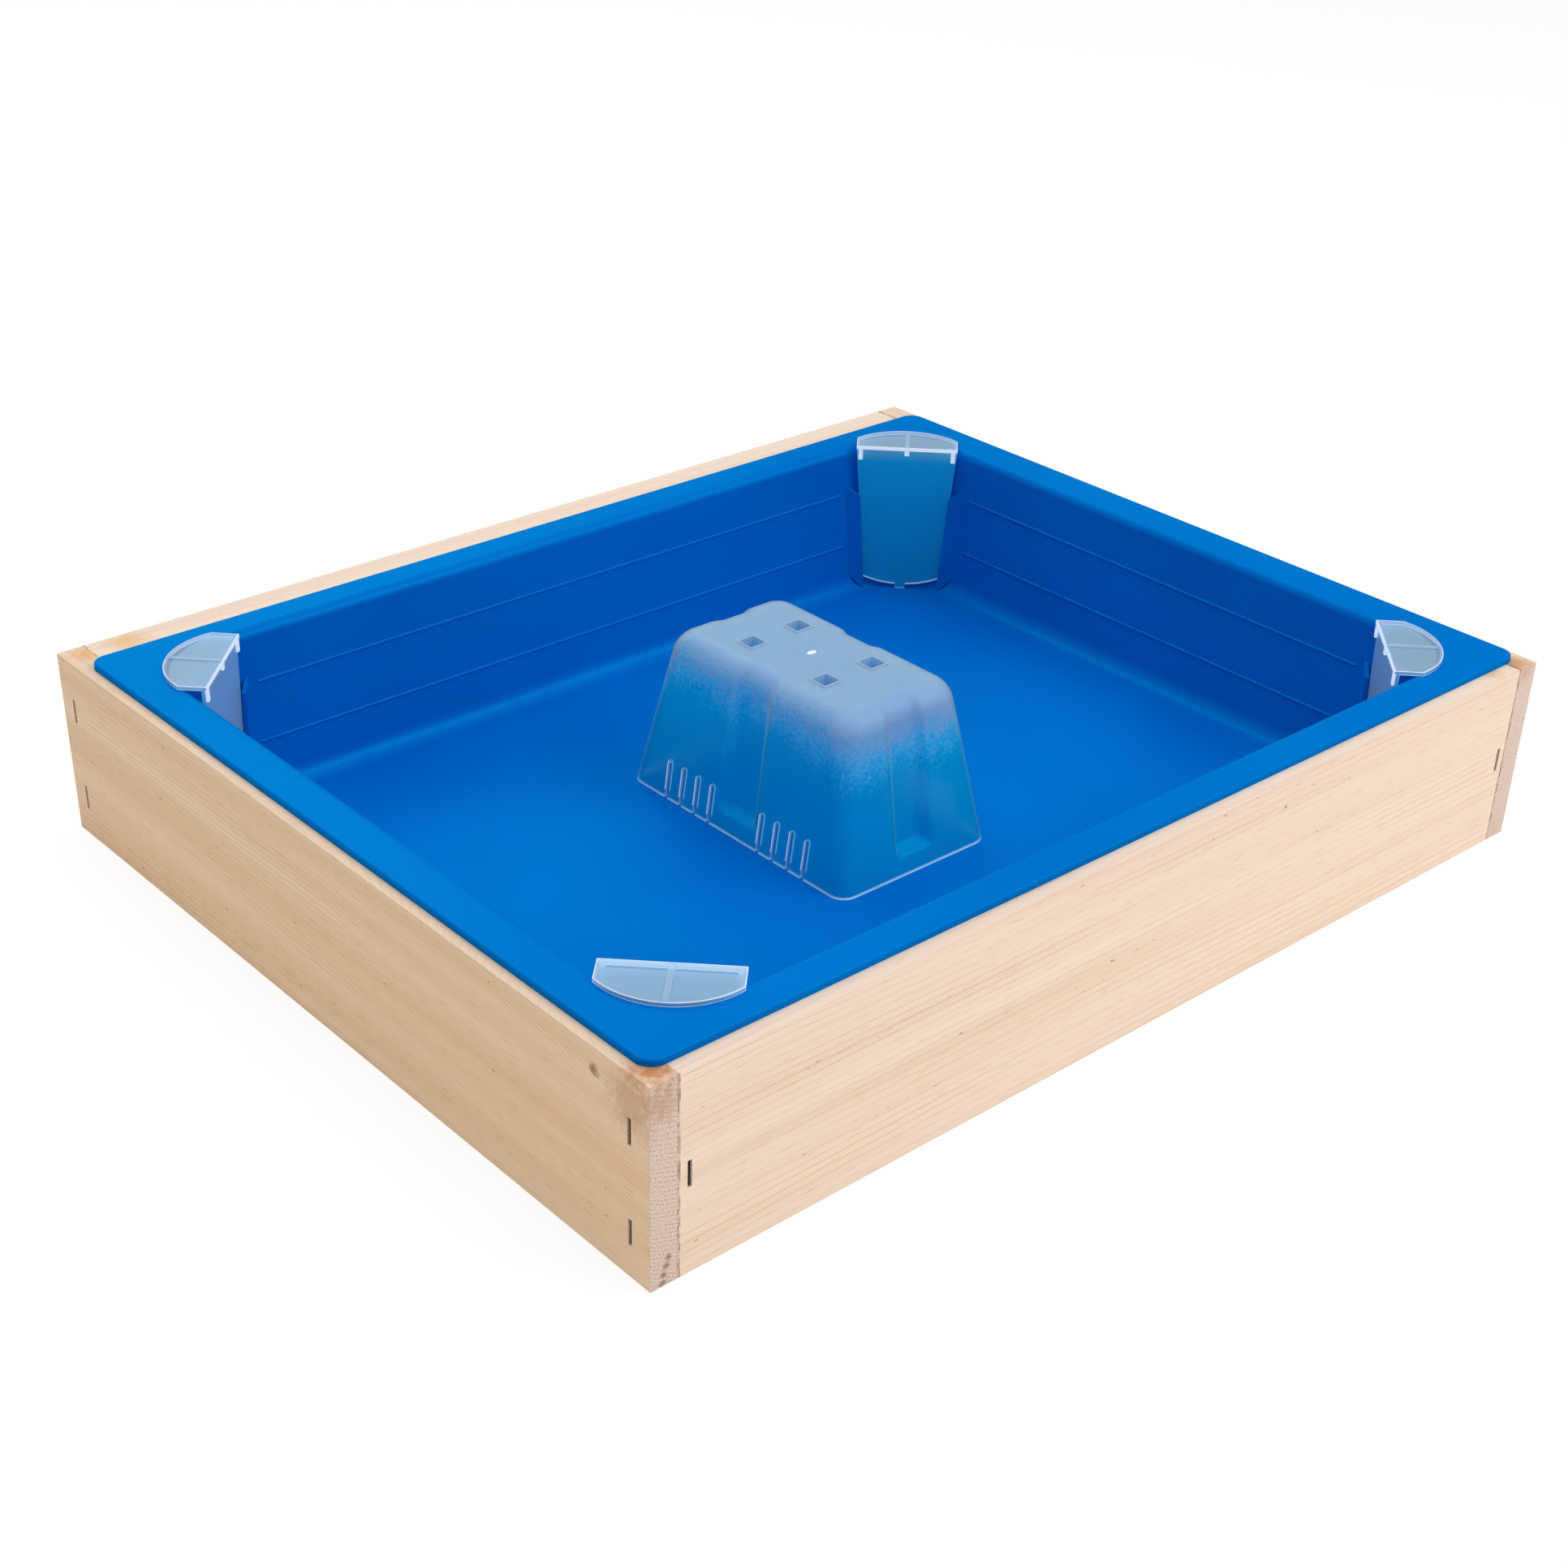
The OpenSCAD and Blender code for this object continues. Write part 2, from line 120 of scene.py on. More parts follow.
def with_slots(piece, materials):
    """Material slots, so that edges and thick parts can take their own while the piece is shaped."""
    for material in materials:
        piece.data.materials.append(material)
    return piece


def combine(piece, operation, *tools):
    for tool in tools:
        with_slots(tool, [] if tool.data.materials else piece.data.materials)
        finish_with(piece, "BOOLEAN", operation=operation, object=tool, solver="MANIFOLD")
        bpy.data.objects.remove(tool)
    return piece


def smoothed(piece, angle=32):
    """Smooth shading that keeps sharp edges and flat faces flat, after slivers left by cuts are merged."""
    with editing(piece):
        bpy.ops.mesh.remove_doubles(threshold=SLIVER)
        bpy.ops.mesh.dissolve_degenerate(threshold=SLIVER)
        bpy.ops.mesh.select_all(action="SELECT")
        bpy.ops.mesh.quads_convert_to_tris(quad_method="BEAUTY", ngon_method="BEAUTY")
    only(piece)
    bpy.ops.object.shade_smooth_by_angle(angle=math.radians(angle))
    finish_with(piece, "WEIGHTED_NORMAL", keep_sharp=True, weight=100)
    return piece


# %% [markdown]
# ## Materials
# A colour is written as it would be picked from a picture, as an sRGB hex value, and turned to the linear
# values that the shader works in. One helper adds a node with its settings and links and hands back the
# output that is wanted. All patterns sit on object coordinates, and their scales come from sizes in mm.

# %% Helpers for materials
def srgb(code):
    channels = [int(code[i:i + 2], 16) / 255 for i in (1, 3, 5)]
    return [c / 12.92 if c <= 0.04045 else ((c + 0.055) / 1.055) ** 2.4 for c in channels] + [1]


def grey(value):
    return [value, value, value, 1]


def add(tree, kind, inputs=None, out=0, stops=None, **settings):
    """Adds a node. stops are the places on a ramp, each with a hex colour or a level of grey."""
    node = tree.nodes.new("ShaderNode" + kind)
    for name, value in settings.items():
        setattr(node, name, value)
    for name, value in (inputs or {}).items():
        if isinstance(value, bpy.types.NodeSocket):
            tree.links.new(value, node.inputs[name])
        else:
            node.inputs[name].default_value = value
    if stops:
        elements = node.color_ramp.elements
        while len(elements) < len(stops):
            elements.new(0.5)
        for element, (place, colour) in zip(elements, stops.items()):
            element.position = place
            element.color = srgb(colour) if isinstance(colour, str) else grey(colour)
    return node.outputs[out] if node.outputs else None


def blank_material(name):
    made = bpy.data.materials.new(name)
    made.use_nodes = True
    made.node_tree.nodes.clear()
    return made, made.node_tree


# %% [markdown]
# ### Planed softwood
# The boards are bare planed wood of a pale cream colour. Growth rings are cylinders round the tree's pith,
# so a board cut from the log shows them as lines along its faces and as arcs on its ends. Stripes could be
# painted on each face, but they wouldn't meet at the edges. So the shader does what the saw does: it
# measures the distance from a pith line and draws a thin late-wood line in each ring. Pores and flecks are
# noise that is drawn out along the grain. End grain is greyer and speckled, and faces that look up are paler.
# Knots bend the rings round them, and glue and resin leave stains at the joints.

# %% Noise and layers of the wood
def lumps(tree, place, length, width, out="Fac"):
    """Noise whose lumps have this length along the grain and this width across it."""
    vector = add(tree, "Mapping", {"Vector": place, "Scale": (1 / length, 1 / width, 1 / width)})
    return add(tree, "TexNoise", {"Vector": vector, "Scale": 1.0, "Detail": 3.0}, out=out)


def over(tree, base, factor, colour, strength):
    """Lays a colour over the base, where the factor says so."""
    share = add(tree, "Math", {0: factor, 1: strength}, operation="MULTIPLY")
    return add(tree, "Mix", {"Factor": share, 6: base, 7: srgb(colour)}, out=2, data_type="RGBA")


# %% Growth rings of the wood
DRIFT = 8 * MM
KNOT_REACH = 190 * MM
KNOT_BEND = 64 * MM


def late_wood(tree, coords, along, place, pith, ring_w, knot):
    """A line in each ring round the pith. The rings drift a little and bend round the knot."""
    cloud = lumps(tree, place, 260 * MM, 40 * MM, "Color")
    sway = add(tree, "VectorMath", {0: cloud, 1: (0.5, 0.5, 0.5)}, operation="SUBTRACT")
    sway_mm = add(tree, "VectorMath", {0: sway, "Scale": DRIFT}, operation="SCALE")
    bent = add(tree, "VectorMath", {0: along, 1: sway_mm})
    if knot:
        gap = add(tree, "VectorMath", {0: coords, 1: knot}, out="Value", operation="DISTANCE")
        pull = add(
            tree,
            "MapRange",
            {"Value": gap, "From Max": KNOT_REACH, "To Min": KNOT_BEND, "To Max": 0.0},
            interpolation_type="SMOOTHSTEP",
        )
        lift = add(tree, "VectorMath", {0: (0, 0, 1), "Scale": pull}, operation="SCALE")
        bent = add(tree, "VectorMath", {0: bent, 1: lift})
    log = add(tree, "Mapping", {"Vector": bent, "Location": (0, -pith[0], -pith[1]), "Scale": (0.02, 1, 1)})
    radius = add(tree, "VectorMath", {0: log}, out="Value", operation="LENGTH")
    ring = add(tree, "Math", {0: radius, 1: 1 / ring_w}, operation="MULTIPLY")
    late = add(tree, "Math", {0: ring}, operation="FRACT")
    return add(tree, "ValToRGB", {0: late}, stops={0.72: 0, 0.93: 1, 0.97: 1, 1.0: 0})


# %% Long faces of the wood
def long_face(tree, place, normal, line, tones):
    """Colour from broad tones down to pores and flecks, and the pores alone."""
    streak = lumps(tree, place, 420 * MM, 11 * MM)
    face = add(tree, "ValToRGB", {0: streak}, stops={0.3: tones[0], 0.5: tones[1], 0.7: tones[2]})
    fade = add(tree, "ValToRGB", {0: lumps(tree, place, 150 * MM, 9 * MM)}, stops={0.35: 0.1, 0.65: 1})
    rings = add(tree, "Math", {0: line, 1: fade}, operation="MULTIPLY")
    face = over(tree, face, rings, tones[3], 0.45)
    pores = add(tree, "ValToRGB", {0: lumps(tree, place, 11 * MM, 0.5 * MM)}, stops={0.56: 0, 0.7: 1})
    face = over(tree, face, pores, tones[3], 0.4)
    spots = add(tree, "ValToRGB", {0: lumps(tree, place, 5 * MM, 1.3 * MM)}, stops={0.69: 0, 0.73: 1})
    band = add(tree, "ValToRGB", {0: streak}, stops={0.52: 0, 0.6: 1})
    flecks = add(tree, "Math", {0: spots, 1: band}, operation="MULTIPLY")
    face = over(tree, face, flecks, "#a0581c", 0.9)
    # Faces that look up are paler
    up = add(tree, "SeparateXYZ", {"Vector": normal}, out="Z")
    paler_on_top = add(tree, "ValToRGB", {0: up}, stops={0.7: 0, 0.9: 1})
    return over(tree, face, paler_on_top, "#f1e1d5", 0.3), pores


# %% End grain and stains of the wood
END_SPECK = 0.5 * MM
STAIN_RAG = 3 * MM


def end_grain(tree, place, line):
    speck = add(tree, "TexNoise", {"Vector": place, "Scale": 1 / END_SPECK, "Detail": 3.0})
    tone = add(tree, "ValToRGB", {0: speck}, stops={0.35: "#bfa08b", 0.5: "#d6beaf", 0.65: "#e6d6cb"})
    dash = add(tree, "ValToRGB", {0: speck}, stops={0.42: 1, 0.56: 0})
    dashes = add(tree, "Math", {0: line, 1: dash}, operation="MULTIPLY")
    return over(tree, tone, dashes, "#7d553b", 0.8)


def near(tree, coords, centre, reach):
    """One at the centre and zero at the reach, with a ragged border."""
    far = add(tree, "VectorMath", {0: coords, 1: centre}, out="Value", operation="DISTANCE")
    rag = add(tree, "TexNoise", {"Vector": coords, "Scale": 1 / STAIN_RAG, "Detail": 3.0})
    ragged = add(tree, "Math", {0: rag, 1: reach, 2: far}, operation="MULTIPLY_ADD")
    return add(
        tree,
        "MapRange",
        {"Value": ragged, "From Min": reach * 0.6, "From Max": reach * 1.4, "To Min": 1.0, "To Max": 0.0},
        interpolation_type="SMOOTHSTEP",
    )


# %% Wood for the boards
JOINT_X = 240 * MM
JOINT_W = 0.7 * MM


def planed_wood(name, turn, pith, ring_w, seed, tones, knot, stains):
    """turn brings the grain onto X, and pith is the ring centre across the turned grain."""
    made, tree = blank_material(name)
    coords = add(tree, "TexCoord", out="Object")
    along = add(tree, "Mapping", {"Vector": coords, "Rotation": (0, 0, turn)})
    place = add(tree, "VectorMath", {0: along, 1: (seed, seed, seed)})
    normal = add(tree, "NewGeometry", out="Normal")
    line = late_wood(tree, coords, along, place, pith, ring_w, knot)
    face, pores = long_face(tree, place, normal, line, tones)
    turned = add(tree, "Mapping", {"Vector": normal, "Rotation": (0, 0, turn)}, vector_type="NORMAL")
    across = add(tree, "SeparateXYZ", {"Vector": turned}, out="X")
    square = add(tree, "Math", {0: across}, operation="ABSOLUTE")
    end = add(tree, "ValToRGB", {0: square}, stops={0.6: 0, 0.8: 1})
    ends = end_grain(tree, place, line)
    colour = add(tree, "Mix", {"Factor": end, 6: face, 7: ends}, out=2, data_type="RGBA")

    # Dirt in the joint between the boards, and stains
    place_x = add(tree, "SeparateXYZ", {"Vector": coords}, out="X")
    far_x = add(tree, "Math", {0: place_x}, operation="ABSOLUTE")
    joint = add(tree, "Math", {0: far_x, 1: JOINT_X, 2: JOINT_W}, operation="COMPARE")
    patchy = add(tree, "ValToRGB", {0: lumps(tree, place, 5 * MM, 5 * MM)}, stops={0.45: 0.1, 0.6: 1})
    dirt = add(tree, "Math", {0: joint, 1: patchy}, operation="MULTIPLY")
    colour = over(tree, colour, dirt, "#8a5a36", 0.7)
    for centre, reach, stain, strength in stains:
        colour = over(tree, colour, near(tree, coords, centre, reach), stain, strength)
    bump = add(tree, "Bump", {"Height": pores, "Strength": 0.12, "Distance": 0.25 * MM, "Normal": normal})
    shader = add(tree, "BsdfPrincipled", {"Base Color": colour, "Roughness": 0.62, "Normal": bump})
    add(tree, "OutputMaterial", {"Surface": shader})
    print(name, "nodes:", len(tree.nodes))
    return made


# %% [markdown]
# ### Blue polypropylene
# The tray is injection moulded in a deep blue polypropylene. The mould's fine spark-eroded texture leaves
# it satin, so it has a soft sheen, strongest where it is seen at a flat angle, and no sharp reflections.
# One shader with a plain gloss would turn the sheen white. A diffuse and a glossy shader are mixed instead,
# so that the sheen keeps a blue of its own.

# %% Blue plastic for the tray
GRAIN = 1.1 * MM
FLOW = 111 * MM


def blue_polypropylene():
    made, tree = blank_material("blue_polypropylene")
    coords = add(tree, "TexCoord", out="Object")
    flow = add(tree, "TexNoise", {"Vector": coords, "Scale": 1 / FLOW, "Detail": 2.0})
    colour = add(tree, "ValToRGB", {0: flow}, stops={0.35: "#0066c4", 0.65: "#006cca"})
    grain = add(tree, "TexNoise", {"Vector": coords, "Scale": 1 / GRAIN, "Detail": 2.0})
    bump = add(tree, "Bump", {"Height": grain, "Strength": 0.06, "Distance": 0.2 * MM})
    rough = add(tree, "ValToRGB", {0: flow}, stops={0.3: 0.34, 0.7: 0.42})
    body = add(tree, "BsdfDiffuse", {"Color": colour, "Normal": bump})
    sheen = add(tree, "BsdfGlossy", {"Color": srgb("#10cdf0"), "Roughness": rough, "Normal": bump})
    mirror = add(tree, "Fresnel", {"IOR": 1.58, "Normal": bump})
    surface = add(tree, "MixShader", {"Fac": mirror, 1: body, 2: sheen})
    add(tree, "OutputMaterial", {"Surface": surface})
    return made


BLUE = blue_polypropylene()

# %% [markdown]
# ### Natural polypropylene
# The guards and the cover are moulded in polypropylene without a colour. A thin wall of it lets most light
# through, blurred, and scatters the rest. The colour of the scattered light is painted by height: low down,
# close to the blue tray, a painted blue of light bounced from the tray, and higher up a painted white of
# light from the room. Seen edge-on the wall is thicker and so whiter. Cut and moulded edges pipe light, so
# they are almost white, and that light is a painted glow that shines under any lamp. Volume scattering could
# do all this, but it is slow and noisy in walls this thin, so the shares are mixed in the shader. One
# function makes all four finishes.

# %% Where the clear plastic is painted blue and white, and where it has a painted glow
FROST = 1.4 * MM
FROST_DRIFT = 14 * MM


def whiteness(tree, coords, height, speck, facing, heights, border, lean, rim):
    """Goes from zero to one between two heights, as painted light that whitens the wall higher up, and up to
    one where a wall is seen edge-on.

    border is how far drift and grain move those heights, and lean moves them by the way that a wall faces,
    which paints more light on the faces that look that way."""
    drift = add(tree, "TexNoise", {"Vector": coords, "Scale": 1 / FROST_DRIFT, "Detail": 2.0})
    shift = add(tree, "VectorMath", {0: facing, 1: lean}, out="Value", operation="DOT_PRODUCT")
    raised = add(tree, "Math", {0: height, 1: shift})
    wavy = add(tree, "Math", {0: drift, 1: border[0], 2: raised}, operation="MULTIPLY_ADD")
    grainy = add(tree, "Math", {0: speck, 1: border[1], 2: wavy}, operation="MULTIPLY_ADD")
    lift = sum(border) / 2
    painted_height_light = add(
        tree,
        "MapRange",
        {"Value": grainy, "From Min": heights[0] + lift, "From Max": heights[1] + lift},
        interpolation_type="SMOOTHSTEP",
    )
    edge_on = add(tree, "LayerWeight", {"Blend": 0.5}, out="Facing")
    steep = add(tree, "Math", {0: edge_on, 1: 3.0}, operation="POWER")
    return add(tree, "Math", {0: steep, 1: rim, 2: painted_height_light}, operation="MULTIPLY_ADD", use_clamp=True)


def painted_piped_glow(tree, height, facing, white, tint, top, glow):
    """A painted glow for the light that the walls pipe down and let out again, most of all on the ends, which
    it paints lighter, and where they turn blue. It shines under any lamp.
    """
    piped = add(tree, "MapRange", {"Value": height, "From Max": top, "To Min": glow * 0.2, "To Max": glow})
    endwise = add(tree, "SeparateXYZ", {"Vector": facing}, out="Y")
    ends = add(tree, "MapRange", {"Value": endwise, "To Min": 1.0, "To Max": 1.6})
    blue = add(tree, "ValToRGB", {0: white}, stops={0.0: 0.5, 0.4: 0.9, 1.0: 0.15})
    lit = add(tree, "Math", {0: piped, 1: ends}, operation="MULTIPLY")
    power = add(tree, "Math", {0: lit, 1: blue}, operation="MULTIPLY")
    return add(tree, "Emission", {"Color": tint, "Strength": power})


# %% Clear plastic for the guards and the cover
FAR_ABOVE = (1.0, 1.1)


def natural_polypropylene(
    name, share, tints, glow, heights=FAR_ABOVE, border=(0, 0), lean=(0, 0, 0), rim=0, blur=0.5
):
    """share is the scattered light where the wall is blue and where it is white, and blur is for the rest."""
    made, tree = blank_material(name)
    coords = add(tree, "TexCoord", out="Object")
    height = add(tree, "SeparateXYZ", {"Vector": coords}, out="Z")
    speck = add(tree, "TexNoise", {"Vector": coords, "Scale": 1 / FROST, "Detail": 2.0})
    facing = add(tree, "VectorMath", {0: add(tree, "NewGeometry", out="Normal")}, operation="ABSOLUTE")
    white = whiteness(tree, coords, height, speck, facing, heights, border, lean, rim)
    milky = add(tree, "MapRange", {"Value": white, "To Min": share[0], "To Max": share[1]})
    # The tint goes from the blue of painted bounce light from the tray, low down, to the white of painted
    # room light higher up
    tint = add(tree, "ValToRGB", {0: white}, stops={0.1: tints[0], 0.55: tints[1], 1.0: tints[2]})
    bump = add(tree, "Bump", {"Height": speck, "Strength": 0.3, "Distance": 0.2 * MM})
    front = add(tree, "BsdfDiffuse", {"Color": tint, "Normal": bump})
    behind = add(tree, "BsdfTranslucent", {"Color": tint, "Normal": bump})
    milk = add(tree, "MixShader", {"Fac": 0.4, 1: front, 2: behind})
    # Light that falls on the piece goes straight through, and what is seen through it can be blurred
    clear = srgb("#d0f2fb")
    through = add(tree, "BsdfTransparent", {"Color": clear})
    if blur:
        blurred = add(tree, "BsdfRefraction", {"Color": clear, "IOR": 1.25, "Roughness": blur})
        shadow = add(tree, "LightPath", out="Is Shadow Ray")
        through = add(tree, "MixShader", {"Fac": shadow, 1: blurred, 2: through})
    body = add(tree, "MixShader", {"Fac": milky, 1: through, 2: milk})
    shine = add(tree, "BsdfGlossy", {"Color": tint, "Roughness": 0.3, "Normal": bump})
    mirror = add(tree, "Fresnel", {"IOR": 1.35})
    faint = add(tree, "Math", {0: mirror, 1: 0.6}, operation="MULTIPLY")
    surface = add(tree, "MixShader", {"Fac": faint, 1: body, 2: shine})
    # A painted glow is added on top, for the light that the walls pipe
    painted_glow = painted_piped_glow(tree, height, facing, white, tint, heights[0], glow)
    add(tree, "OutputMaterial", {"Surface": add(tree, "AddShader", {0: surface, 1: painted_glow})})
    print(name, "nodes:", len(tree.nodes))
    return made


# Low down the cover is a painted blue of light from the tray, higher up a painted white of room light, and
# lean paints its ends lighter
CLEAR_COVER = natural_polypropylene(
    "natural_polypropylene_cover",
    share=(0.25, 0.46),
    tints=("#04d4f4", "#70e0ff", "#d6ebfa"),
    glow=0.058,
    heights=(61 * MM, 89 * MM),
    border=(14 * MM, 40 * MM),
    lean=(0, 8 * MM, 0),
    rim=0.9,
)
# The guards are a painted blue below the weir and a painted white above it, and lean paints the lids, which
# face up, lighter
CLEAR_GUARD = natural_polypropylene(
    "natural_polypropylene_guard",
    share=(0.42, 0.44),
    tints=("#1ecaf6", "#96d4f4", "#d2e8f6"),
    glow=0.08,
    heights=(79 * MM, 102 * MM),
    lean=(0, 0, 25 * MM),
    rim=2.0,
    blur=0,
)
# Moulded edges, almost white and with a strong painted glow for the piped light that comes out, and thicker
# places, such as the lids' raised edges, with a faint painted glow
CLEAR_EDGE = natural_polypropylene("natural_polypropylene_edge", (0.9, 0.9), ("#f6f9fd",) * 3, 1.6)
CLEAR_THICK = natural_polypropylene("natural_polypropylene_thick", (0.6, 0.6), ("#d6e9fa",) * 3, 0.16)

# %% [markdown]
# ### Zinc coated wire
# The staples are drawn steel wire with a thin zinc coat, dull grey and a little streaked. They sit deep in
# the wood, so the rough metal gets two dark tones, which paint the shade of the slots over its grey.

# %% Steel for the staples
WIRE_STREAK = 2 * MM


def zinc_wire_with_painted_shade():
    made, tree = blank_material("zinc_wire_with_painted_shade")
    coords = add(tree, "TexCoord", out="Object")
    streak = add(tree, "TexNoise", {"Vector": coords, "Scale": 1 / WIRE_STREAK, "Detail": 2.0})
    # Both tones are dark, as painted shade of the slots that the staples sit in
    colour = add(tree, "ValToRGB", {0: streak}, stops={0.3: "#241f1b", 0.7: "#403a35"})
    shader = add(tree, "BsdfPrincipled", {"Base Color": colour, "Metallic": 1.0, "Roughness": 0.45})
    add(tree, "OutputMaterial", {"Surface": shader})
    return made


WIRE = zinc_wire_with_painted_shade()

# %% [markdown]
# ## The rim
# Four boards are glued and stapled to a frame. The end boards cover the ends of the long boards and have a
# rabbet inside that takes them. A board's outline could be drawn and extruded, but a cube of its node's
# size can't miss the construction, so each board starts as one. Its edges are eased as sandpaper leaves
# them, the rabbets are cut, and then the slots that the staples were driven into.

# %% Sizes of the rim
BOARD_T = 22 * MM
RABBET_D = 9.5 * MM
EASE = 0.5 * MM
SLOT_W = 1.9 * MM
SLOT_L = 11.4 * MM
SLOT_D = 2.6 * MM
CORNERS = {"front_left": (-1, -1), "front_right": (1, -1), "back_left": (-1, 1), "back_right": (1, 1)}
rim_low, rim_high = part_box("left_end_board")[0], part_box("right_end_board")[1]
print("rim:", [round(v / MM, 1) for v in rim_high - rim_low], "mm")


# %% Boards and staple slots
def staple_slot(staple):
    """A block over the staple's back, which reaches out of the board's face and stays in its plane."""
    low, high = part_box(staple)
    middle = (low + high) / 2
    half = Vector((SLOT_W / 2, SLOT_W / 2, SLOT_L / 2))
    axis = 1 if staple.endswith("side") else 0
    face = rim_high[axis] if middle[axis] > 0 else rim_low[axis]
    middle[axis] = face
    half[axis] = SLOT_D
    return block(middle - half, middle + half)


def eased_board(node):
    board = block(*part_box(node))
    with editing(board, "EDGE"):
        bpy.ops.mesh.bevel(offset=EASE, segments=2, affect="EDGES")
    return board


def cut_slots(board, corners, kinds):
    for corner in corners:
        for kind in kinds:
            combine(board, "DIFFERENCE", staple_slot(f"staple_{corner}_{kind}"))


# %% Tones and stains of the boards
LONG_TONES = ("#eed9c5", "#ead3bd", "#e6cab3", "#d09a62")
END_TONES = ("#e7caa8", "#e2c19c", "#ddb892", "#ae7e50")
near_top = Vector((rim_low.x, rim_low.y, rim_high.z))
far_top = Vector((rim_low.x, rim_high.y, rim_high.z))
right_top = Vector((rim_high.x, rim_low.y, rim_high.z))
KNOT = near_top + Vector((0, 10 * MM, 2 * MM))
# A row of small spots makes a grey streak, and each stain has a centre, a reach, a colour and a strength
STREAK = [(7.9 * MM, 12 * MM), (7 * MM, 8.5 * MM), (6 * MM, 5 * MM), (5.2 * MM, 2 * MM)]
STAINS = {
    "front_board": [(right_top + Vector((-26 * MM, 6 * MM, 0)), 9 * MM, "#d9a765", 0.5)],
    "back_board": [(far_top + Vector((30 * MM, -8 * MM, 0)), 15 * MM, "#e2b36e", 0.7)],
    "left_end_board": [
        (near_top + Vector((0, 10 * MM, -12 * MM)), 19 * MM, "#b58868", 0.6),
        (near_top + Vector((6 * MM, 0, -8 * MM)), 13 * MM, "#b58868", 0.55),
        (near_top + Vector((7 * MM, 8 * MM, 2 * MM)), 13 * MM, "#bf7a3e", 0.9),
        (near_top + Vector((0, 30 * MM, -9 * MM)), 4 * MM, "#7a4f30", 0.8),
        (far_top + Vector((10 * MM, -9 * MM, 0)), 11 * MM, "#dfa95c", 0.8),
    ],
    "right_end_board": [(right_top + Vector((-9 * MM, 5 * MM, 0)), 12 * MM, "#c08247", 0.7)],
}
for x, z in STREAK:
    centre = Vector((rim_low.x + x, rim_low.y, z))
    STAINS["left_end_board"].append((centre, 2.4 * MM, "#6b5a55", 0.8))
print("stains:", sum(len(spots) for spots in STAINS.values()))


# %% The long boards
LONG_RING = 2.9 * MM
LONG_PITH = (50 * MM, -190 * MM)


def dress(piece, name, materials, body, node):
    """Names a finished piece, gives it its materials and ties it to its construction node."""
    piece.name = name
    piece.data.name = name
    for place, material in enumerate(materials):
        if place < len(piece.data.materials):
            piece.data.materials[place] = material
        else:
            piece.data.materials.append(material)
    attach(piece, body)
    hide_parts(node)
    print(name, "faces:", len(piece.data.polygons))
    return piece


for node, side, seed in (("front_board", -1, 3.1), ("back_board", 1, 7.7)):
    board = eased_board(node)
    cut_slots(board, [c for c, (x, y) in CORNERS.items() if y == side], ["side"])
    pith = (side * LONG_PITH[0], LONG_PITH[1])
    wood = planed_wood(node + "_wood", 0, pith, LONG_RING, seed, LONG_TONES, None, STAINS[node])
    dress(smoothed(board), node + "_wood", [wood], "rim", node)

# %% The end boards
END_RING = 2.2 * MM
END_PITH = (-420 * MM, -200 * MM)
END_TURN = math.radians(-90)
for node, side, seed in (("left_end_board", -1, 1.3), ("right_end_board", 1, 5.9)):
    board = eased_board(node)
    low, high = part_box(node)
    inside = low.x if side > 0 else high.x
    for end in (low.y, high.y):
        room = Vector((RABBET_D, BOARD_T, rim_high.z))
        middle = Vector((inside, end, rim_high.z / 2))
        combine(board, "DIFFERENCE", block(middle - room, middle + room))
    cut_slots(board, [c for c, (x, y) in CORNERS.items() if x == side], ["upper", "lower"])
    knot = KNOT if side < 0 else None
    pith = (side * END_PITH[0], END_PITH[1])
    wood = planed_wood(node + "_wood", END_TURN, pith, END_RING, seed, END_TONES, knot, STAINS[node])
    dress(smoothed(board), node + "_wood", [wood], "rim", node)

# %% [markdown]
# ## The staples
# The construction model's staples have the right shape already, so they stay and only get their finish.

# %% Finish of the staples
staples = [node for name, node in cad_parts.items() if name.startswith("staple")]
for node in staples:
    node.data.materials.clear()
    node.data.materials.append(WIRE)
print("staples:", len(staples))

# %% [markdown]
# ## The tray
# The tray is one moulding: a flange, a rounded lip, drafted walls and a floor with a wide fillet. A block
# with bevelled edges could give a basin, but not one whose corners stay parallel from lip to floor. So a
# flat rounded rectangle is inset again and again, each time a little further in and down. Solidify then
# gives the sheet its wall, and cutters open the corners.

# %% Sizes of the tray
TRAY_T = 2.4 * MM
FLANGE_T = 3 * MM
FLANGE_R = 7.5 * MM
FLANGE_EDGE = 1 * MM
CORNER_R = 36 * MM
DRAFT = math.radians(3.5)
FLOOR_FILLET = 8.5 * MM
LIP_R = 5 * MM
WEIR_DROP = 10 * MM
PLAY_L = 1.1 * MM
PLAY_W = 6.6 * MM
CORNER_STEPS = 28

tray_low, tray_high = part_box("tray")
flange_top = tray_high.z
flange_z = flange_top - FLANGE_T
floor_z = tray_low.z + TRAY_T
weir_z = flange_top - WEIR_DROP
lip_z = flange_top - LIP_R
fillet_z = floor_z + FLOOR_FILLET
tray_mid = (tray_low + tray_high) / 2
corner_x = rim_high.x - BOARD_T - PLAY_L - TRAY_T - CORNER_R
corner_y = rim_high.y - BOARD_T - PLAY_W - TRAY_T - CORNER_R
lip_edge = CORNER_R + LIP_R / math.cos(DRAFT)


def wall_at(z):
    """Distance of the basin's wall from the centre of the corner curve, at height z."""
    return CORNER_R - (lip_z - z) * math.tan(DRAFT)


fillet_at = wall_at(fillet_z) - FLOOR_FILLET / math.cos(DRAFT)
print("basin depth:", round((flange_top - floor_z) / MM, 1), "mm")


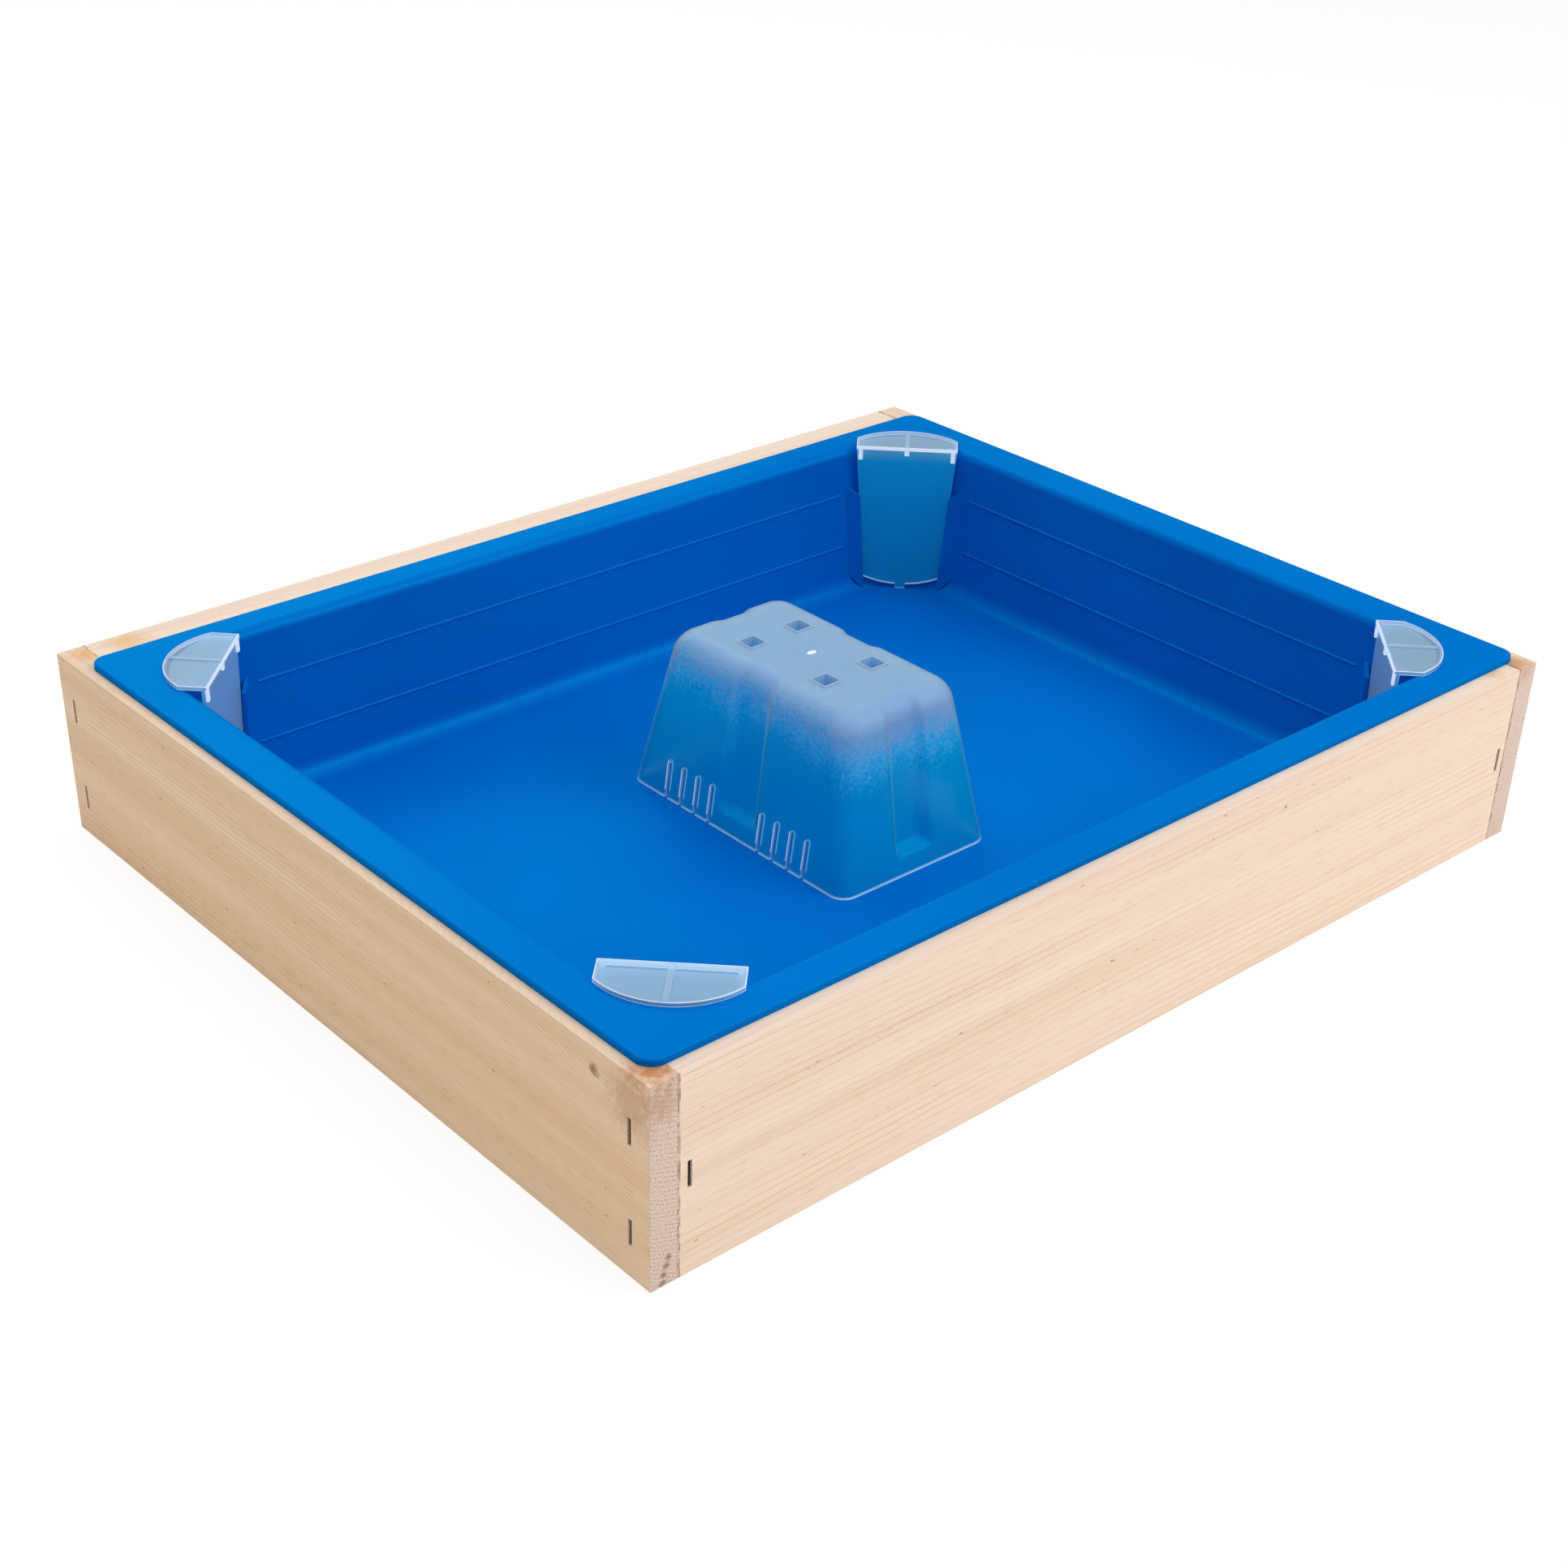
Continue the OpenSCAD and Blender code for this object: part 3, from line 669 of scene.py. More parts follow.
# %% The basin, from the lip down to the floor
def arc(centre, r, begin, end, steps):
    angles = [math.radians(begin + (end - begin) * i / steps) for i in range(steps + 1)]
    return [(centre[0] + r * math.cos(a), centre[1] + r * math.sin(a)) for a in angles]


def rounded_sheet(half_x, half_y, r, z):
    sheet = start("plane", size=1, location=(tray_mid.x, tray_mid.y, z))
    with editing(sheet, "VERT"):
        bpy.ops.transform.resize(value=(2 * half_x, 2 * half_y, 1))
        bpy.ops.mesh.bevel(offset=r, segments=CORNER_STEPS, affect="VERTICES")
    return sheet


draft = math.degrees(DRAFT)
section = arc((lip_edge, lip_z), LIP_R, 90, 180 - draft, 8)
section += arc((fillet_at, fillet_z), FLOOR_FILLET, -draft, -90, 10)
basin = rounded_sheet(corner_x + lip_edge, corner_y + lip_edge, lip_edge, flange_top)
with editing(basin):
    for (out, z), (next_out, next_z) in zip(section, section[1:]):
        bpy.ops.mesh.inset(thickness=out - next_out, depth=next_z - z)
print("basin faces:", len(basin.data.polygons))

# %% [markdown]
# ### The flange
# The flange has tighter corners than the basin, so it can't come from the same insets. Its edge is a second
# rounded rectangle, and a bridge between the two loops fills the flat part. The sheet gets its thickness,
# the flange's underside is lowered to its own, and the upper edge is rounded.

# %% The flange round the basin
def joined(pieces):
    only(pieces[0])
    for piece in pieces:
        piece.select_set(True)
    bpy.ops.object.join()
    return pieces[0]


edge = rounded_sheet(tray_high.x - tray_mid.x, tray_high.y - tray_mid.y, FLANGE_R, flange_top)
with editing(edge):
    bpy.ops.mesh.inset(thickness=FLANGE_EDGE, depth=0)
    bpy.ops.mesh.delete(type="FACE")
tray = joined([basin, edge])


def outer_arc(point):
    """True on the rounded corners of the flange's outline."""
    dx = abs(point.x - tray_mid.x) - (tray_high.x - tray_mid.x - FLANGE_R)
    dy = abs(point.y - tray_mid.y) - (tray_high.y - tray_mid.y - FLANGE_R)
    return dx > 0 and dy > 0 and math.hypot(dx, dy) > FLANGE_R - FLANGE_EDGE / 2


def inner_loop(item):
    """True on the open edges that face each other across the flange."""
    middle = (item.verts[0].co + item.verts[1].co) / 2
    in_x = abs(middle.x - tray_mid.x) < tray_high.x - tray_mid.x - FLANGE_EDGE / 2
    in_y = abs(middle.y - tray_mid.y) < tray_high.y - tray_mid.y - FLANGE_EDGE / 2
    return item.is_boundary and in_x and in_y and not outer_arc(middle)


with editing(tray, "EDGE"):
    choose(tray, "edges", inner_loop)
    bpy.ops.mesh.bridge_edge_loops()
    bpy.ops.mesh.select_all(action="SELECT")
    bpy.ops.mesh.normals_make_consistent(inside=False)
floor_face = max(tray.data.polygons, key=lambda face: face.area)
if floor_face.normal.z < 0:
    with editing(tray):
        bpy.ops.mesh.flip_normals()
finish_with(tray, "SOLIDIFY", thickness=TRAY_T, offset=-1, use_even_offset=True)


# %% The flange's own thickness and edge
def top_edge(edge):
    """True on the sharp edges round the top of the flange."""
    level = all(abs(v.co.z - flange_top) < CLOSE for v in edge.verts)
    return level and edge.calc_face_angle(0) > math.radians(69)


with editing(tray, "VERT"):
    choose(tray, "verts", lambda v: abs(v.co.z - flange_top + TRAY_T) < CLOSE)
    bpy.ops.transform.translate(value=(0, 0, TRAY_T - FLANGE_T))
with editing(tray, "EDGE"):
    choose(tray, "edges", top_edge)
    bpy.ops.mesh.bevel(offset=FLANGE_EDGE * 0.9, segments=4, affect="EDGES")
print("tray sheet faces:", len(tray.data.polygons))

# %% [markdown]
# ### The corners of the tray
# In each corner the wall is cut down to a weir and the flange is opened in a D under the guard's lid. Two
# guide ribs stand in front of the guard's plate. All of it is drawn once, in a frame whose X axis runs
# out along the corner's diagonal, and then carried to the four corners, so that they can't differ.

# %% Sizes of the corners
GUARD_SET = 31 * MM
GUARD_GAP = 3.4 * MM
GUARD_T = 1.5 * MM
GUIDE_T = 2 * MM
GUIDE_GAP = 0.4 * MM
GUIDE_LAP = 0.8 * MM
GUIDE_DROP = 16 * MM
GUIDE_SLOPE = 5 * MM
LID_T = 1.5 * MM
LID_DEPTH = 25.2 * MM
LID_SIDE = 12.6 * MM
LID_OVER = 1.2 * MM
LID_EDGE_H = 0.6 * MM
LID_EDGE_W = 1.5 * MM
LID_LAP = 2.5 * MM
SQRT2 = math.sqrt(2)
guard_at = SQRT2 * CORNER_R - GUARD_SET
guide_at = guard_at - GUIDE_GAP - GUIDE_T


def wall_across(z, along):
    return SQRT2 * wall_at(z) - along


def plate_half(z):
    return wall_across(z, guard_at + GUARD_T) - GUARD_GAP


lid_at = guard_at - LID_OVER
lid_w = 2 * plate_half(flange_top)
lid_rise = LID_DEPTH - LID_SIDE
lid_arc_r = ((lid_w / 2) ** 2 + lid_rise**2) / (2 * lid_rise)
lid_arc_at = lid_at + LID_DEPTH - lid_arc_r
print("lid:", round(lid_w / MM, 1), "x", round(LID_DEPTH / MM, 1), "mm")


# %% Helpers for the corners
def to_corner(signs):
    """Carries the corner frame to one corner of the tray."""
    place = Matrix.Translation((tray_mid.x + signs[0] * corner_x, tray_mid.y + signs[1] * corner_y, 0))
    return place @ Matrix.Rotation(math.atan2(signs[1], signs[0]), 4, "Z")


def copy_of(piece, place):
    twin = piece.copy()
    twin.data = piece.data.copy()
    bpy.context.collection.objects.link(twin)
    twin.matrix_world = place
    return settle(twin)


def at_corners(piece):
    copies = [copy_of(piece, to_corner(signs)) for signs in CORNERS.values()]
    bpy.data.objects.remove(piece)
    return copies


def lid_sheet(inset, z):
    """The D outline of the lid: a disc whose front and sides are cut straight."""
    sheet = start(
        "circle", vertices=160, radius=lid_arc_r - inset, fill_type="NGON", location=(lid_arc_at, 0, z)
    )
    with editing(sheet):
        for point, away in (
            ((lid_at + inset, 0, z), (-1, 0, 0)),
            ((0, lid_w / 2 - inset, z), (0, 1, 0)),
            ((0, inset - lid_w / 2, z), (0, -1, 0)),
        ):
            bpy.ops.mesh.select_all(action="SELECT")
            bpy.ops.mesh.bisect(plane_co=point, plane_no=away, clear_outer=True)
    return sheet


def thicken(sheet, way):
    """Extrudes a flat face along way into a closed solid."""
    with editing(sheet):
        bpy.ops.mesh.extrude_region_move(TRANSFORM_OT_translate={"value": way})
        bpy.ops.mesh.select_all(action="SELECT")
        bpy.ops.mesh.normals_make_consistent(inside=False)
    return sheet


# %% Weirs and openings in the corners
OVER = 2 * MM
opening = thicken(lid_sheet(LID_LAP, flange_z - OVER), (0, 0, FLANGE_T + 2 * OVER))
window = block((0, 0, weir_z), (lip_edge, lip_edge, flange_z))
window.matrix_world = Matrix.Rotation(math.radians(-45), 4, "Z")
settle(window)
for cutter in (window, opening):
    combine(tray, "DIFFERENCE", joined(at_corners(cutter)))
print("tray faces with open corners:", len(tray.data.polygons))

# %% [markdown]
# ### Guide ribs and beads
# Two ribs keep each guard's plate in its place, and fine beads run along the walls between the corners. A
# rib is a flat outline that follows the plate and the drafted wall, extruded to its thickness. The beads
# could be steps of the basin's section, but they stop short of the corners. So each is a thin bar with
# rounded ends, half sunk into the wall.

# %% Guide ribs
def guide_rib(side):
    """An upright rib whose front edge follows the plate and whose top slopes back to the wall."""
    along = guide_at + GUIDE_T / 2
    top_z = weir_z - GUIDE_DROP + GUIDE_SLOPE
    knee_z = weir_z - GUIDE_DROP
    sink = TRAY_T * SQRT2 / 2
    toe = plate_half(fillet_z) - GUIDE_LAP
    toe_out = (along + toe) / SQRT2 - fillet_at
    toe_z = floor_z + FLOOR_FILLET - math.sqrt(FLOOR_FILLET**2 - max(toe_out, 0) ** 2) - TRAY_T / 2
    outline = [
        (toe, toe_z),
        (plate_half(knee_z) - GUIDE_LAP, knee_z),
        (wall_across(top_z, along), top_z),
        (wall_across(top_z, along) + sink, top_z),
        (wall_across(fillet_z, along) + sink, fillet_z),
    ]
    rib = start("circle", vertices=len(outline), radius=FLOOR_FILLET, fill_type="NGON")
    for vert, (across, z) in zip(rib.data.vertices, outline):
        vert.co = (guide_at, side * across, z)
    return thicken(rib, (GUIDE_T, 0, 0))


combine(tray, "UNION", joined([rib for side in (-1, 1) for rib in at_corners(guide_rib(side))]))
print("tray faces with guide ribs:", len(tray.data.polygons))

# %% Beads on the walls
BEAD_H = 0.7 * MM
BEAD_HEIGHTS = (25 * MM, 54 * MM)
BEAD_STOP = 4 * MM
BEAD_SINK = 0.1 * MM


def bead(z, turn):
    across, along = ((corner_x, corner_y), (corner_y, corner_x))[turn % 2]
    length = 2 * (along - wall_at(z) + SQRT2 * guide_at - BEAD_STOP)
    bar = start("cylinder", vertices=16, radius=BEAD_H, depth=length, rotation=(math.radians(90), 0, 0))
    with editing(bar):
        choose(bar, "faces", lambda f: abs(f.normal.y) > 0.9)
        for share in (0.2, 0.3):
            bpy.ops.mesh.inset(thickness=BEAD_H * share, depth=BEAD_H * (0.6 - share))
    place = Matrix.Translation((tray_mid.x, tray_mid.y, z)) @ Matrix.Rotation(math.radians(90 * turn), 4, "Z")
    bar.matrix_world = place @ Matrix.Translation((across + wall_at(z) + BEAD_SINK, 0, 0))
    return settle(bar)


tray = joined([tray] + [bead(floor_z + h, turn) for h in BEAD_HEIGHTS for turn in range(4)])
dress(smoothed(tray), "blue_tray", [BLUE], "tray", "tray")

# %% [markdown]
# ## The corner guards
# A guard is a thin upright plate under a D-shaped lid, and it keeps bees from the deep syrup. The lid could
# be drawn point by point, but a disc that is cut straight on three sides has its arc already. An inset
# sinks the lid's middle, so that an edge stands up all round. The plate is also cut from a disc, because
# its lower edge is a shallow arc.

# %% Sizes of the guards
FOOT_H = 2.4 * MM
FOOT_W = 5.5 * MM
FOOT_GAP = 0.2 * MM
BOW_R = 56 * MM
LID_RIB_W = 2.4 * MM
TAB_W = 2.2 * MM
TAB_L = 5.5 * MM
RIB_TAB_L = 2.5 * MM
GUARD_EASE = 0.35 * MM
TAB_SET = 0.02 * MM
LID_RIB_SINK = 0.05 * MM
BOW_RISE = 8 * MM
GUARD_FINISH = [CLEAR_GUARD, CLEAR_EDGE, CLEAR_THICK]
print("plate at its top:", round(2 * plate_half(flange_top) / MM, 1), "mm wide")


# %% Lid and plate of a guard
def eased(piece, slot):
    """Rounds the sharp edges a little, as moulded edges are, in the material of one slot."""
    with editing(piece, "EDGE"):
        choose(piece, "edges", lambda e: e.calc_face_angle_signed(0) > math.radians(40))
        bpy.ops.mesh.bevel(offset=GUARD_EASE, segments=2, affect="EDGES", material=slot)
    return piece


def guard_lid():
    lid = thicken(lid_sheet(0, flange_top), (0, 0, LID_T + LID_EDGE_H))
    with editing(lid):
        choose(lid, "faces", lambda f: f.normal.z > 0.9)
        bpy.ops.mesh.inset(thickness=LID_EDGE_W, depth=-LID_EDGE_H)
    # The lid's eased edges get the white edge finish with its painted glow
    return eased(with_slots(lid, GUARD_FINISH), 1)


def guard_plate():
    plate_z = floor_z + FOOT_H
    slope = SQRT2 * math.tan(DRAFT)
    upright = (math.radians(90), 0, math.radians(90))
    middle = (guard_at, 0, plate_z + BOW_R)
    plate = start("circle", vertices=240, radius=BOW_R, fill_type="NGON", location=middle, rotation=upright)
    with editing(plate):
        top = flange_top + LID_T / 2
        cuts = [((guard_at, 0, top), (0, 0, 1))]
        cuts += [((guard_at, side * plate_half(top), top), (0, side, -slope)) for side in (-1, 1)]
        for point, away in cuts:
            bpy.ops.mesh.select_all(action="SELECT")
            bpy.ops.mesh.bisect(plane_co=point, plane_no=away, clear_outer=True)
        bpy.ops.mesh.select_all(action="SELECT")
        bpy.ops.mesh.remove_doubles(threshold=2 * GUARD_EASE)
    return eased(with_slots(thicken(plate, (GUARD_T, 0, 0)), GUARD_FINISH), 0)


# %% One guard, then four
def on_lid_edge(face):
    """True on the raised edge and the rib of the lid, where the plastic is thicker."""
    return face.material_index == 0 and face.calc_center_median().z > flange_top + LID_T + LID_EDGE_H / 4


def painted_glow_at_guard(face):
    """True on the tabs in front of the plate and on the lower edge of plate and foot, which get the white
    edge finish with its painted glow.
    """
    middle = face.calc_center_median()
    tab = middle.x < guard_at - 2 * CLOSE and middle.z < flange_top + LID_T
    return tab or (middle.z < floor_z + FOOT_H + BOW_RISE and face.normal.z < -0.3)


def assign(piece, slot, test):
    """Gives the faces for which test is true the material of one slot."""
    with editing(piece):
        choose(piece, "faces", test)
        piece.active_material_index = slot
        bpy.ops.object.material_slot_assign()


def corner_guard():
    guard = guard_lid()
    lid_top = flange_top + LID_T + LID_EDGE_H
    foot_z = floor_z + FOOT_GAP
    half_t = GUARD_T / 2
    extras = [guard_plate()]
    extras.append(
        block((guard_at, -FOOT_W / 2, foot_z), (guard_at + GUARD_T, FOOT_W / 2, floor_z + FOOT_H + half_t))
    )
    extras.append(
        block(
            (lid_at + half_t, -LID_RIB_W / 2, flange_top + LID_T / 2),
            (lid_at + LID_DEPTH - LID_EDGE_W / 2, LID_RIB_W / 2, lid_top - LID_RIB_SINK),
        )
    )
    drops = [(0, LID_RIB_W, RIB_TAB_L)]
    drops += [(side * (plate_half(flange_top) - TAB_W), TAB_W, TAB_L) for side in (-1, 1)]
    for middle, width, length in drops:
        extras.append(
            block(
                (lid_at + TAB_SET, middle - width / 2, flange_top - length),
                (guard_at + half_t, middle + width / 2, flange_top + LID_T / 2),
            )
        )
    combine(guard, "UNION", *extras)
    assign(guard, 2, on_lid_edge)
    assign(guard, 1, painted_glow_at_guard)
    return guard


for corner, guard in zip(CORNERS, at_corners(corner_guard())):
    node = "corner_guard_" + corner
    dress(smoothed(guard), node + "_clear", GUARD_FINISH, "guard_" + corner, node)

# %% [markdown]
# ## The centre cover
# The cover is an upside-down cup with tapered walls, a rounded roof and a flute down the middle of each
# side. A tapered block could be cut with flute-shaped tools, but these flutes grow shallower with height.
# So a ring of points is extruded upwards step by step, and each ring is set to the outline at its height.
# Solidify gives the wall.

# %% Sizes of the cover
COVER_T = 1.6 * MM
COVER_EDGE_R = 10 * MM
COVER_EASE = 0.5 * MM
COVER_FINISH = [CLEAR_COVER, CLEAR_EDGE, CLEAR_THICK]
COVER_LINE = 0.7 * MM
COVER_BASE_R = 8 * MM
COVER_TOP_R = 12 * MM
SIDE_DRAFT = math.radians(8.1)
END_DRAFT = math.radians(10.2)
COLLAR_LIP = 0.3 * MM
SIDE_FLUTE = 14 * MM
END_FLUTE = 12 * MM
FLUTE_D = 6 * MM
FLUTE_TOP_D = 2 * MM
FLUTE_FLANK = 6 * MM
FLUTE_FOOT = 8 * MM
FLUTE_SLOPE = 5 * MM
cover_low, cover_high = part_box("centre_cover")
cover_mid = (cover_low + cover_high) / 2
cover_h = cover_high.z - COLLAR_LIP - cover_low.z
half_w, half_l = (cover_high.x - cover_low.x) / 2, (cover_high.y - cover_low.y) / 2
roof_z = cover_low.z + cover_h
print("cover:", [round(v / MM, 1) for v in cover_high - cover_low], "mm")


# %% Outline of the cover at each height
def ease(share):
    share = min(max(share, 0), 1)
    return share * share * (3 - 2 * share)


def cover_outline(z, inset):
    w = half_w - z * math.tan(SIDE_DRAFT) - inset
    l = half_l - z * math.tan(END_DRAFT) - inset
    r = max(COVER_BASE_R + (COVER_TOP_R - COVER_BASE_R) * z / cover_h - inset, COVER_T / 2)
    fading = FLUTE_D + (FLUTE_TOP_D - FLUTE_D) * z / cover_h
    depth = fading * ease((z - FLUTE_FOOT) / FLUTE_SLOPE)
    points = []
    for quarter in range(4):
        out, half, flute = ((w, l, SIDE_FLUTE), (l, w, END_FLUTE))[quarter % 2]
        side = []
        for i in range(33):
            across = flute * 1.15 * (i / 16 - 1)
            side.append((out - depth * ease((flute - abs(across)) / FLUTE_FLANK), across))
        side += arc((out - r, half - r), r, 0, 90, 12)
        turn = Matrix.Rotation(math.radians(90 * quarter), 2)
        points += [turn @ Vector(p) for p in side]
    return points


# Pairs of a height and an inset
levels = [(0, 0), (COVER_LINE, 0), (FLUTE_FOOT / 2, 0)]
levels += [(FLUTE_FOOT + FLUTE_SLOPE * i / 6, 0) for i in range(7)]
levels += [((cover_h - COVER_EDGE_R) * s, 0) for s in (0.35, 0.6, 0.8)]
levels += [(z, inset) for inset, z in arc((COVER_EDGE_R, cover_h - COVER_EDGE_R), COVER_EDGE_R, 180, 90, 9)]
print("rings of the cover:", len(levels), "with", len(cover_outline(0, 0)), "points")

# %% The shell of the cover
count = len(cover_outline(0, 0))
cover = start("circle", vertices=count, radius=half_w, fill_type="NOTHING")
with editing(cover, "EDGE"):
    for _ in levels[1:]:
        bpy.ops.mesh.extrude_region_move(TRANSFORM_OT_translate={"value": (0, 0, MM)})
base = [v.co.copy() for v in cover.data.vertices[:count]]
order = {(round(p.x, 6), round(p.y, 6)): i for i, p in enumerate(base)}
outlines = [cover_outline(z, inset) for z, inset in levels]
# A new circle starts on +Y and runs clockwise or anticlockwise, so the ring's own order is turned to match
spin = 1 if base[0].x * base[1].y - base[0].y * base[1].x > 0 else -1
for vert in cover.data.vertices:
    ring = round(vert.co.z / MM)
    place = order[(round(vert.co.x, 6), round(vert.co.y, 6))]
    point = outlines[ring][(spin * place) % count]
    vert.co = (point.x + cover_mid.x, point.y + cover_mid.y, cover_low.z + levels[ring][0])
with editing(cover, "EDGE"):
    choose(cover, "edges", lambda e: all(v.co.z > roof_z - CLOSE for v in e.verts))
    bpy.ops.mesh.edge_face_add()
    bpy.ops.mesh.select_all(action="SELECT")
    bpy.ops.mesh.normals_make_consistent(inside=False)
roof = max(cover.data.polygons, key=lambda face: face.center.z)
if roof.normal.z < 0:
    with editing(cover):
        bpy.ops.mesh.flip_normals()


def foot_edge(edge):
    """True on the sharp edges round the foot of the cover."""
    low = all(v.co.z < cover_low.z + CLOSE for v in edge.verts)
    return low and edge.calc_face_angle(0) > math.radians(40)


finish_with(cover, "SOLIDIFY", thickness=COVER_T, offset=-1, use_even_offset=True)
with_slots(cover, COVER_FINISH)
# The eased foot gets the white edge finish with its painted glow
with editing(cover, "EDGE"):
    choose(cover, "edges", foot_edge)
    bpy.ops.mesh.bevel(offset=COVER_EASE, segments=2, affect="EDGES", material=1)
print("cover shell faces:", len(cover.data.polygons))

# %% [markdown]
# ### Holes and slots of the cover
# Syrup can pass through slots low in the long sides, and air through four square holes in the roof, whose
# collars hang down inside. They could be part of the rings of points, but that would crowd the whole shell
# Cutters are used instead, after the wall has its thickness, so that their sides run straight
# through. Cut edges are eased, and they get the white finish of an edge that pipes light, with its painted
# glow.

# %% Sizes of the holes and slots
SLOT_PLACES = [16.9 * MM + i * 9.9 * MM for i in range(4)]
COVER_SLOT_W = 2.2 * MM
COVER_SLOT_H = 18.5 * MM
HOLE_X = 13.65 * MM
HOLE_Y = 24.2 * MM
HOLE_W = 8.5 * MM
COLLAR_T = 1 * MM
COLLAR_D = 6 * MM
SLOT_EASE = 0.3 * MM
SLOT_FOOT = 1.5 * MM
SLOT_REACH = 0.1 * MM
print("slots:", 4 * len(SLOT_PLACES))


# %% Cutters for the holes and slots
def square_posts(width, low, high):
    posts = []
    for x in (-HOLE_X, HOLE_X):
        for y in (-HOLE_Y, HOLE_Y):
            middle = Vector((cover_mid.x + x, cover_mid.y + y, 0))
            corner = Vector((width / 2, width / 2, 0))
            posts.append(block(middle - corner + Vector((0, 0, low)), middle + corner + Vector((0, 0, high))))
    return joined(posts)


def slot_cutter(y):
    """A bar across the cover with a round top, whose lower half is drawn down past the base."""
    middle = cover_low.z + COVER_SLOT_H - COVER_SLOT_W / 2
    slot = start(
        "cylinder",
        vertices=24,
        radius=COVER_SLOT_W / 2,
        depth=2 * (half_w + OVER),
        location=(cover_mid.x, cover_mid.y + y, middle),
        rotation=(0, math.radians(90), 0),
    )
    with editing(slot, "VERT"):
        choose(slot, "verts", lambda v: v.co.z < middle - CLOSE)
        bpy.ops.transform.translate(value=(0, 0, -COVER_SLOT_H))
    return slot


# %% Holes and slots, and their finish
def in_slot(face):
    """True on the cut faces inside a slot."""
    middle = face.calc_center_median()
    nearest = min(abs(abs(middle.y - cover_mid.y) - y) for y in SLOT_PLACES)
    low = middle.z < cover_low.z + COVER_SLOT_H + SLOT_REACH
    return low and nearest < COVER_SLOT_W / 2 + SLOT_REACH and abs(face.normal.x) < 0.3


def slot_edge(edge):
    """True on the sharp edges of a slot, above the cover's foot."""
    if len(edge.link_faces) != 2 or edge.calc_face_angle(0) < math.radians(50):
        return False
    above = all(v.co.z > cover_low.z + SLOT_FOOT for v in edge.verts)
    return above and in_slot(edge.link_faces[0]) != in_slot(edge.link_faces[1])


def base_line(face):
    """True along the lower edge, which gets the white edge finish with a painted glow for the light that the
    wall pipes there.
    """
    return face.calc_center_median().z < cover_low.z + COVER_LINE


def thick(face):
    """True inside the slots and on the collars' lips."""
    return face.material_index == 0 and (in_slot(face) or face.calc_center_median().z > roof_z + 2 * CLOSE)


collar_z = roof_z - COVER_T - COLLAR_D
combine(cover, "UNION", square_posts(HOLE_W + 2 * COLLAR_T, collar_z, roof_z + COLLAR_LIP))
combine(cover, "DIFFERENCE", square_posts(HOLE_W, collar_z - OVER, roof_z + OVER))
combine(cover, "DIFFERENCE", joined([slot_cutter(side * y) for y in SLOT_PLACES for side in (-1, 1)]))
with editing(cover, "EDGE"):
    choose(cover, "edges", slot_edge)
    bpy.ops.mesh.bevel(offset=SLOT_EASE, segments=1, affect="EDGES", material=1)
assign(cover, 1, base_line)
assign(cover, 2, thick)
print("cover faces with holes and slots:", len(cover.data.polygons))

# %% [markdown]
# ### Marks of the mould
# The plastic enters the mould at a gate, which leaves a small blob with a ring round it, and round pins
# push the cover out, which leaves a ring at each corner. A bump in the material could show them, but the
# mesh wouldn't carry it, so they are thin raised rings that are half sunk into the roof.

# %% Marks of the mould on the roof
RING_LINE = 0.2 * MM
GATE_R = 4.5 * MM
GATE_BLOB = 1.7 * MM
GATE_SQUASH = (1.5, 0.8, 0.25)
EJECTOR_R = 5.5 * MM
EJECTORS = [(x, y) for x in (-16 * MM, 16 * MM) for y in (-41.5 * MM, 41.5 * MM)]


def ring_mark(x, y, r):
    """A fine raised line, as a round pin leaves it in the mould."""
    place = (cover_mid.x + x, cover_mid.y + y, roof_z)
    steps = {"major_segments": 40, "minor_segments": 8}
    mark = start("torus", major_radius=r, minor_radius=RING_LINE, location=place, **steps)
    with_slots(mark, COVER_FINISH)
    assign(mark, 2, lambda face: True)
    return mark


gate = (cover_mid.x, cover_mid.y, roof_z)
blob = start("uv_sphere", segments=20, ring_count=10, radius=GATE_BLOB, location=gate)
with editing(blob):
    bpy.ops.transform.resize(value=GATE_SQUASH, center_override=gate)
# The gate's blob gets the white edge finish with its painted glow
assign(with_slots(blob, COVER_FINISH), 1, lambda face: True)
marks = [blob, ring_mark(0, 0, GATE_R)] + [ring_mark(x, y, EJECTOR_R) for x, y in EJECTORS]
cover = joined([cover] + marks)
dress(smoothed(cover, 40), "centre_cover_clear", COVER_FINISH, "cover", "centre_cover")

# %% [markdown]
# ## Light, floor and camera
# The photograph is a studio shot on white, lit softly from all sides with a little more light from above.
# The world gives the soft light, and only the camera sees it as plain white. Three large lamps give the
# shadows a direction. One strong lamp would do that too, but with hard shadows that the photograph lacks.

# %% World and lamps
SOFT = 0.46
scene = bpy.context.scene
scene.view_settings.view_transform = "Standard"
scene.world = bpy.data.worlds.new("studio")
scene.world.use_nodes = True
sky = scene.world.node_tree
sky.nodes.clear()
seen = add(sky, "LightPath", out="Is Camera Ray")
soft = add(sky, "Background", {"Color": grey(1.0), "Strength": SOFT})
white = add(sky, "Background", {"Color": grey(1.0), "Strength": 1.0})
add(sky, "OutputWorld", {"Surface": add(sky, "MixShader", {"Fac": seen, 1: soft, 2: white})})


def lamp(name, place, aim, size, power):
    data = bpy.data.lights.new(name, "AREA")
    data.shape = "SQUARE"
    data.size = size
    data.energy = power
    made = bpy.data.objects.new(name, data)
    scene.collection.objects.link(made)
    made.location = place
    made.rotation_euler = (Vector(aim) - Vector(place)).to_track_quat("-Z", "Y").to_euler()


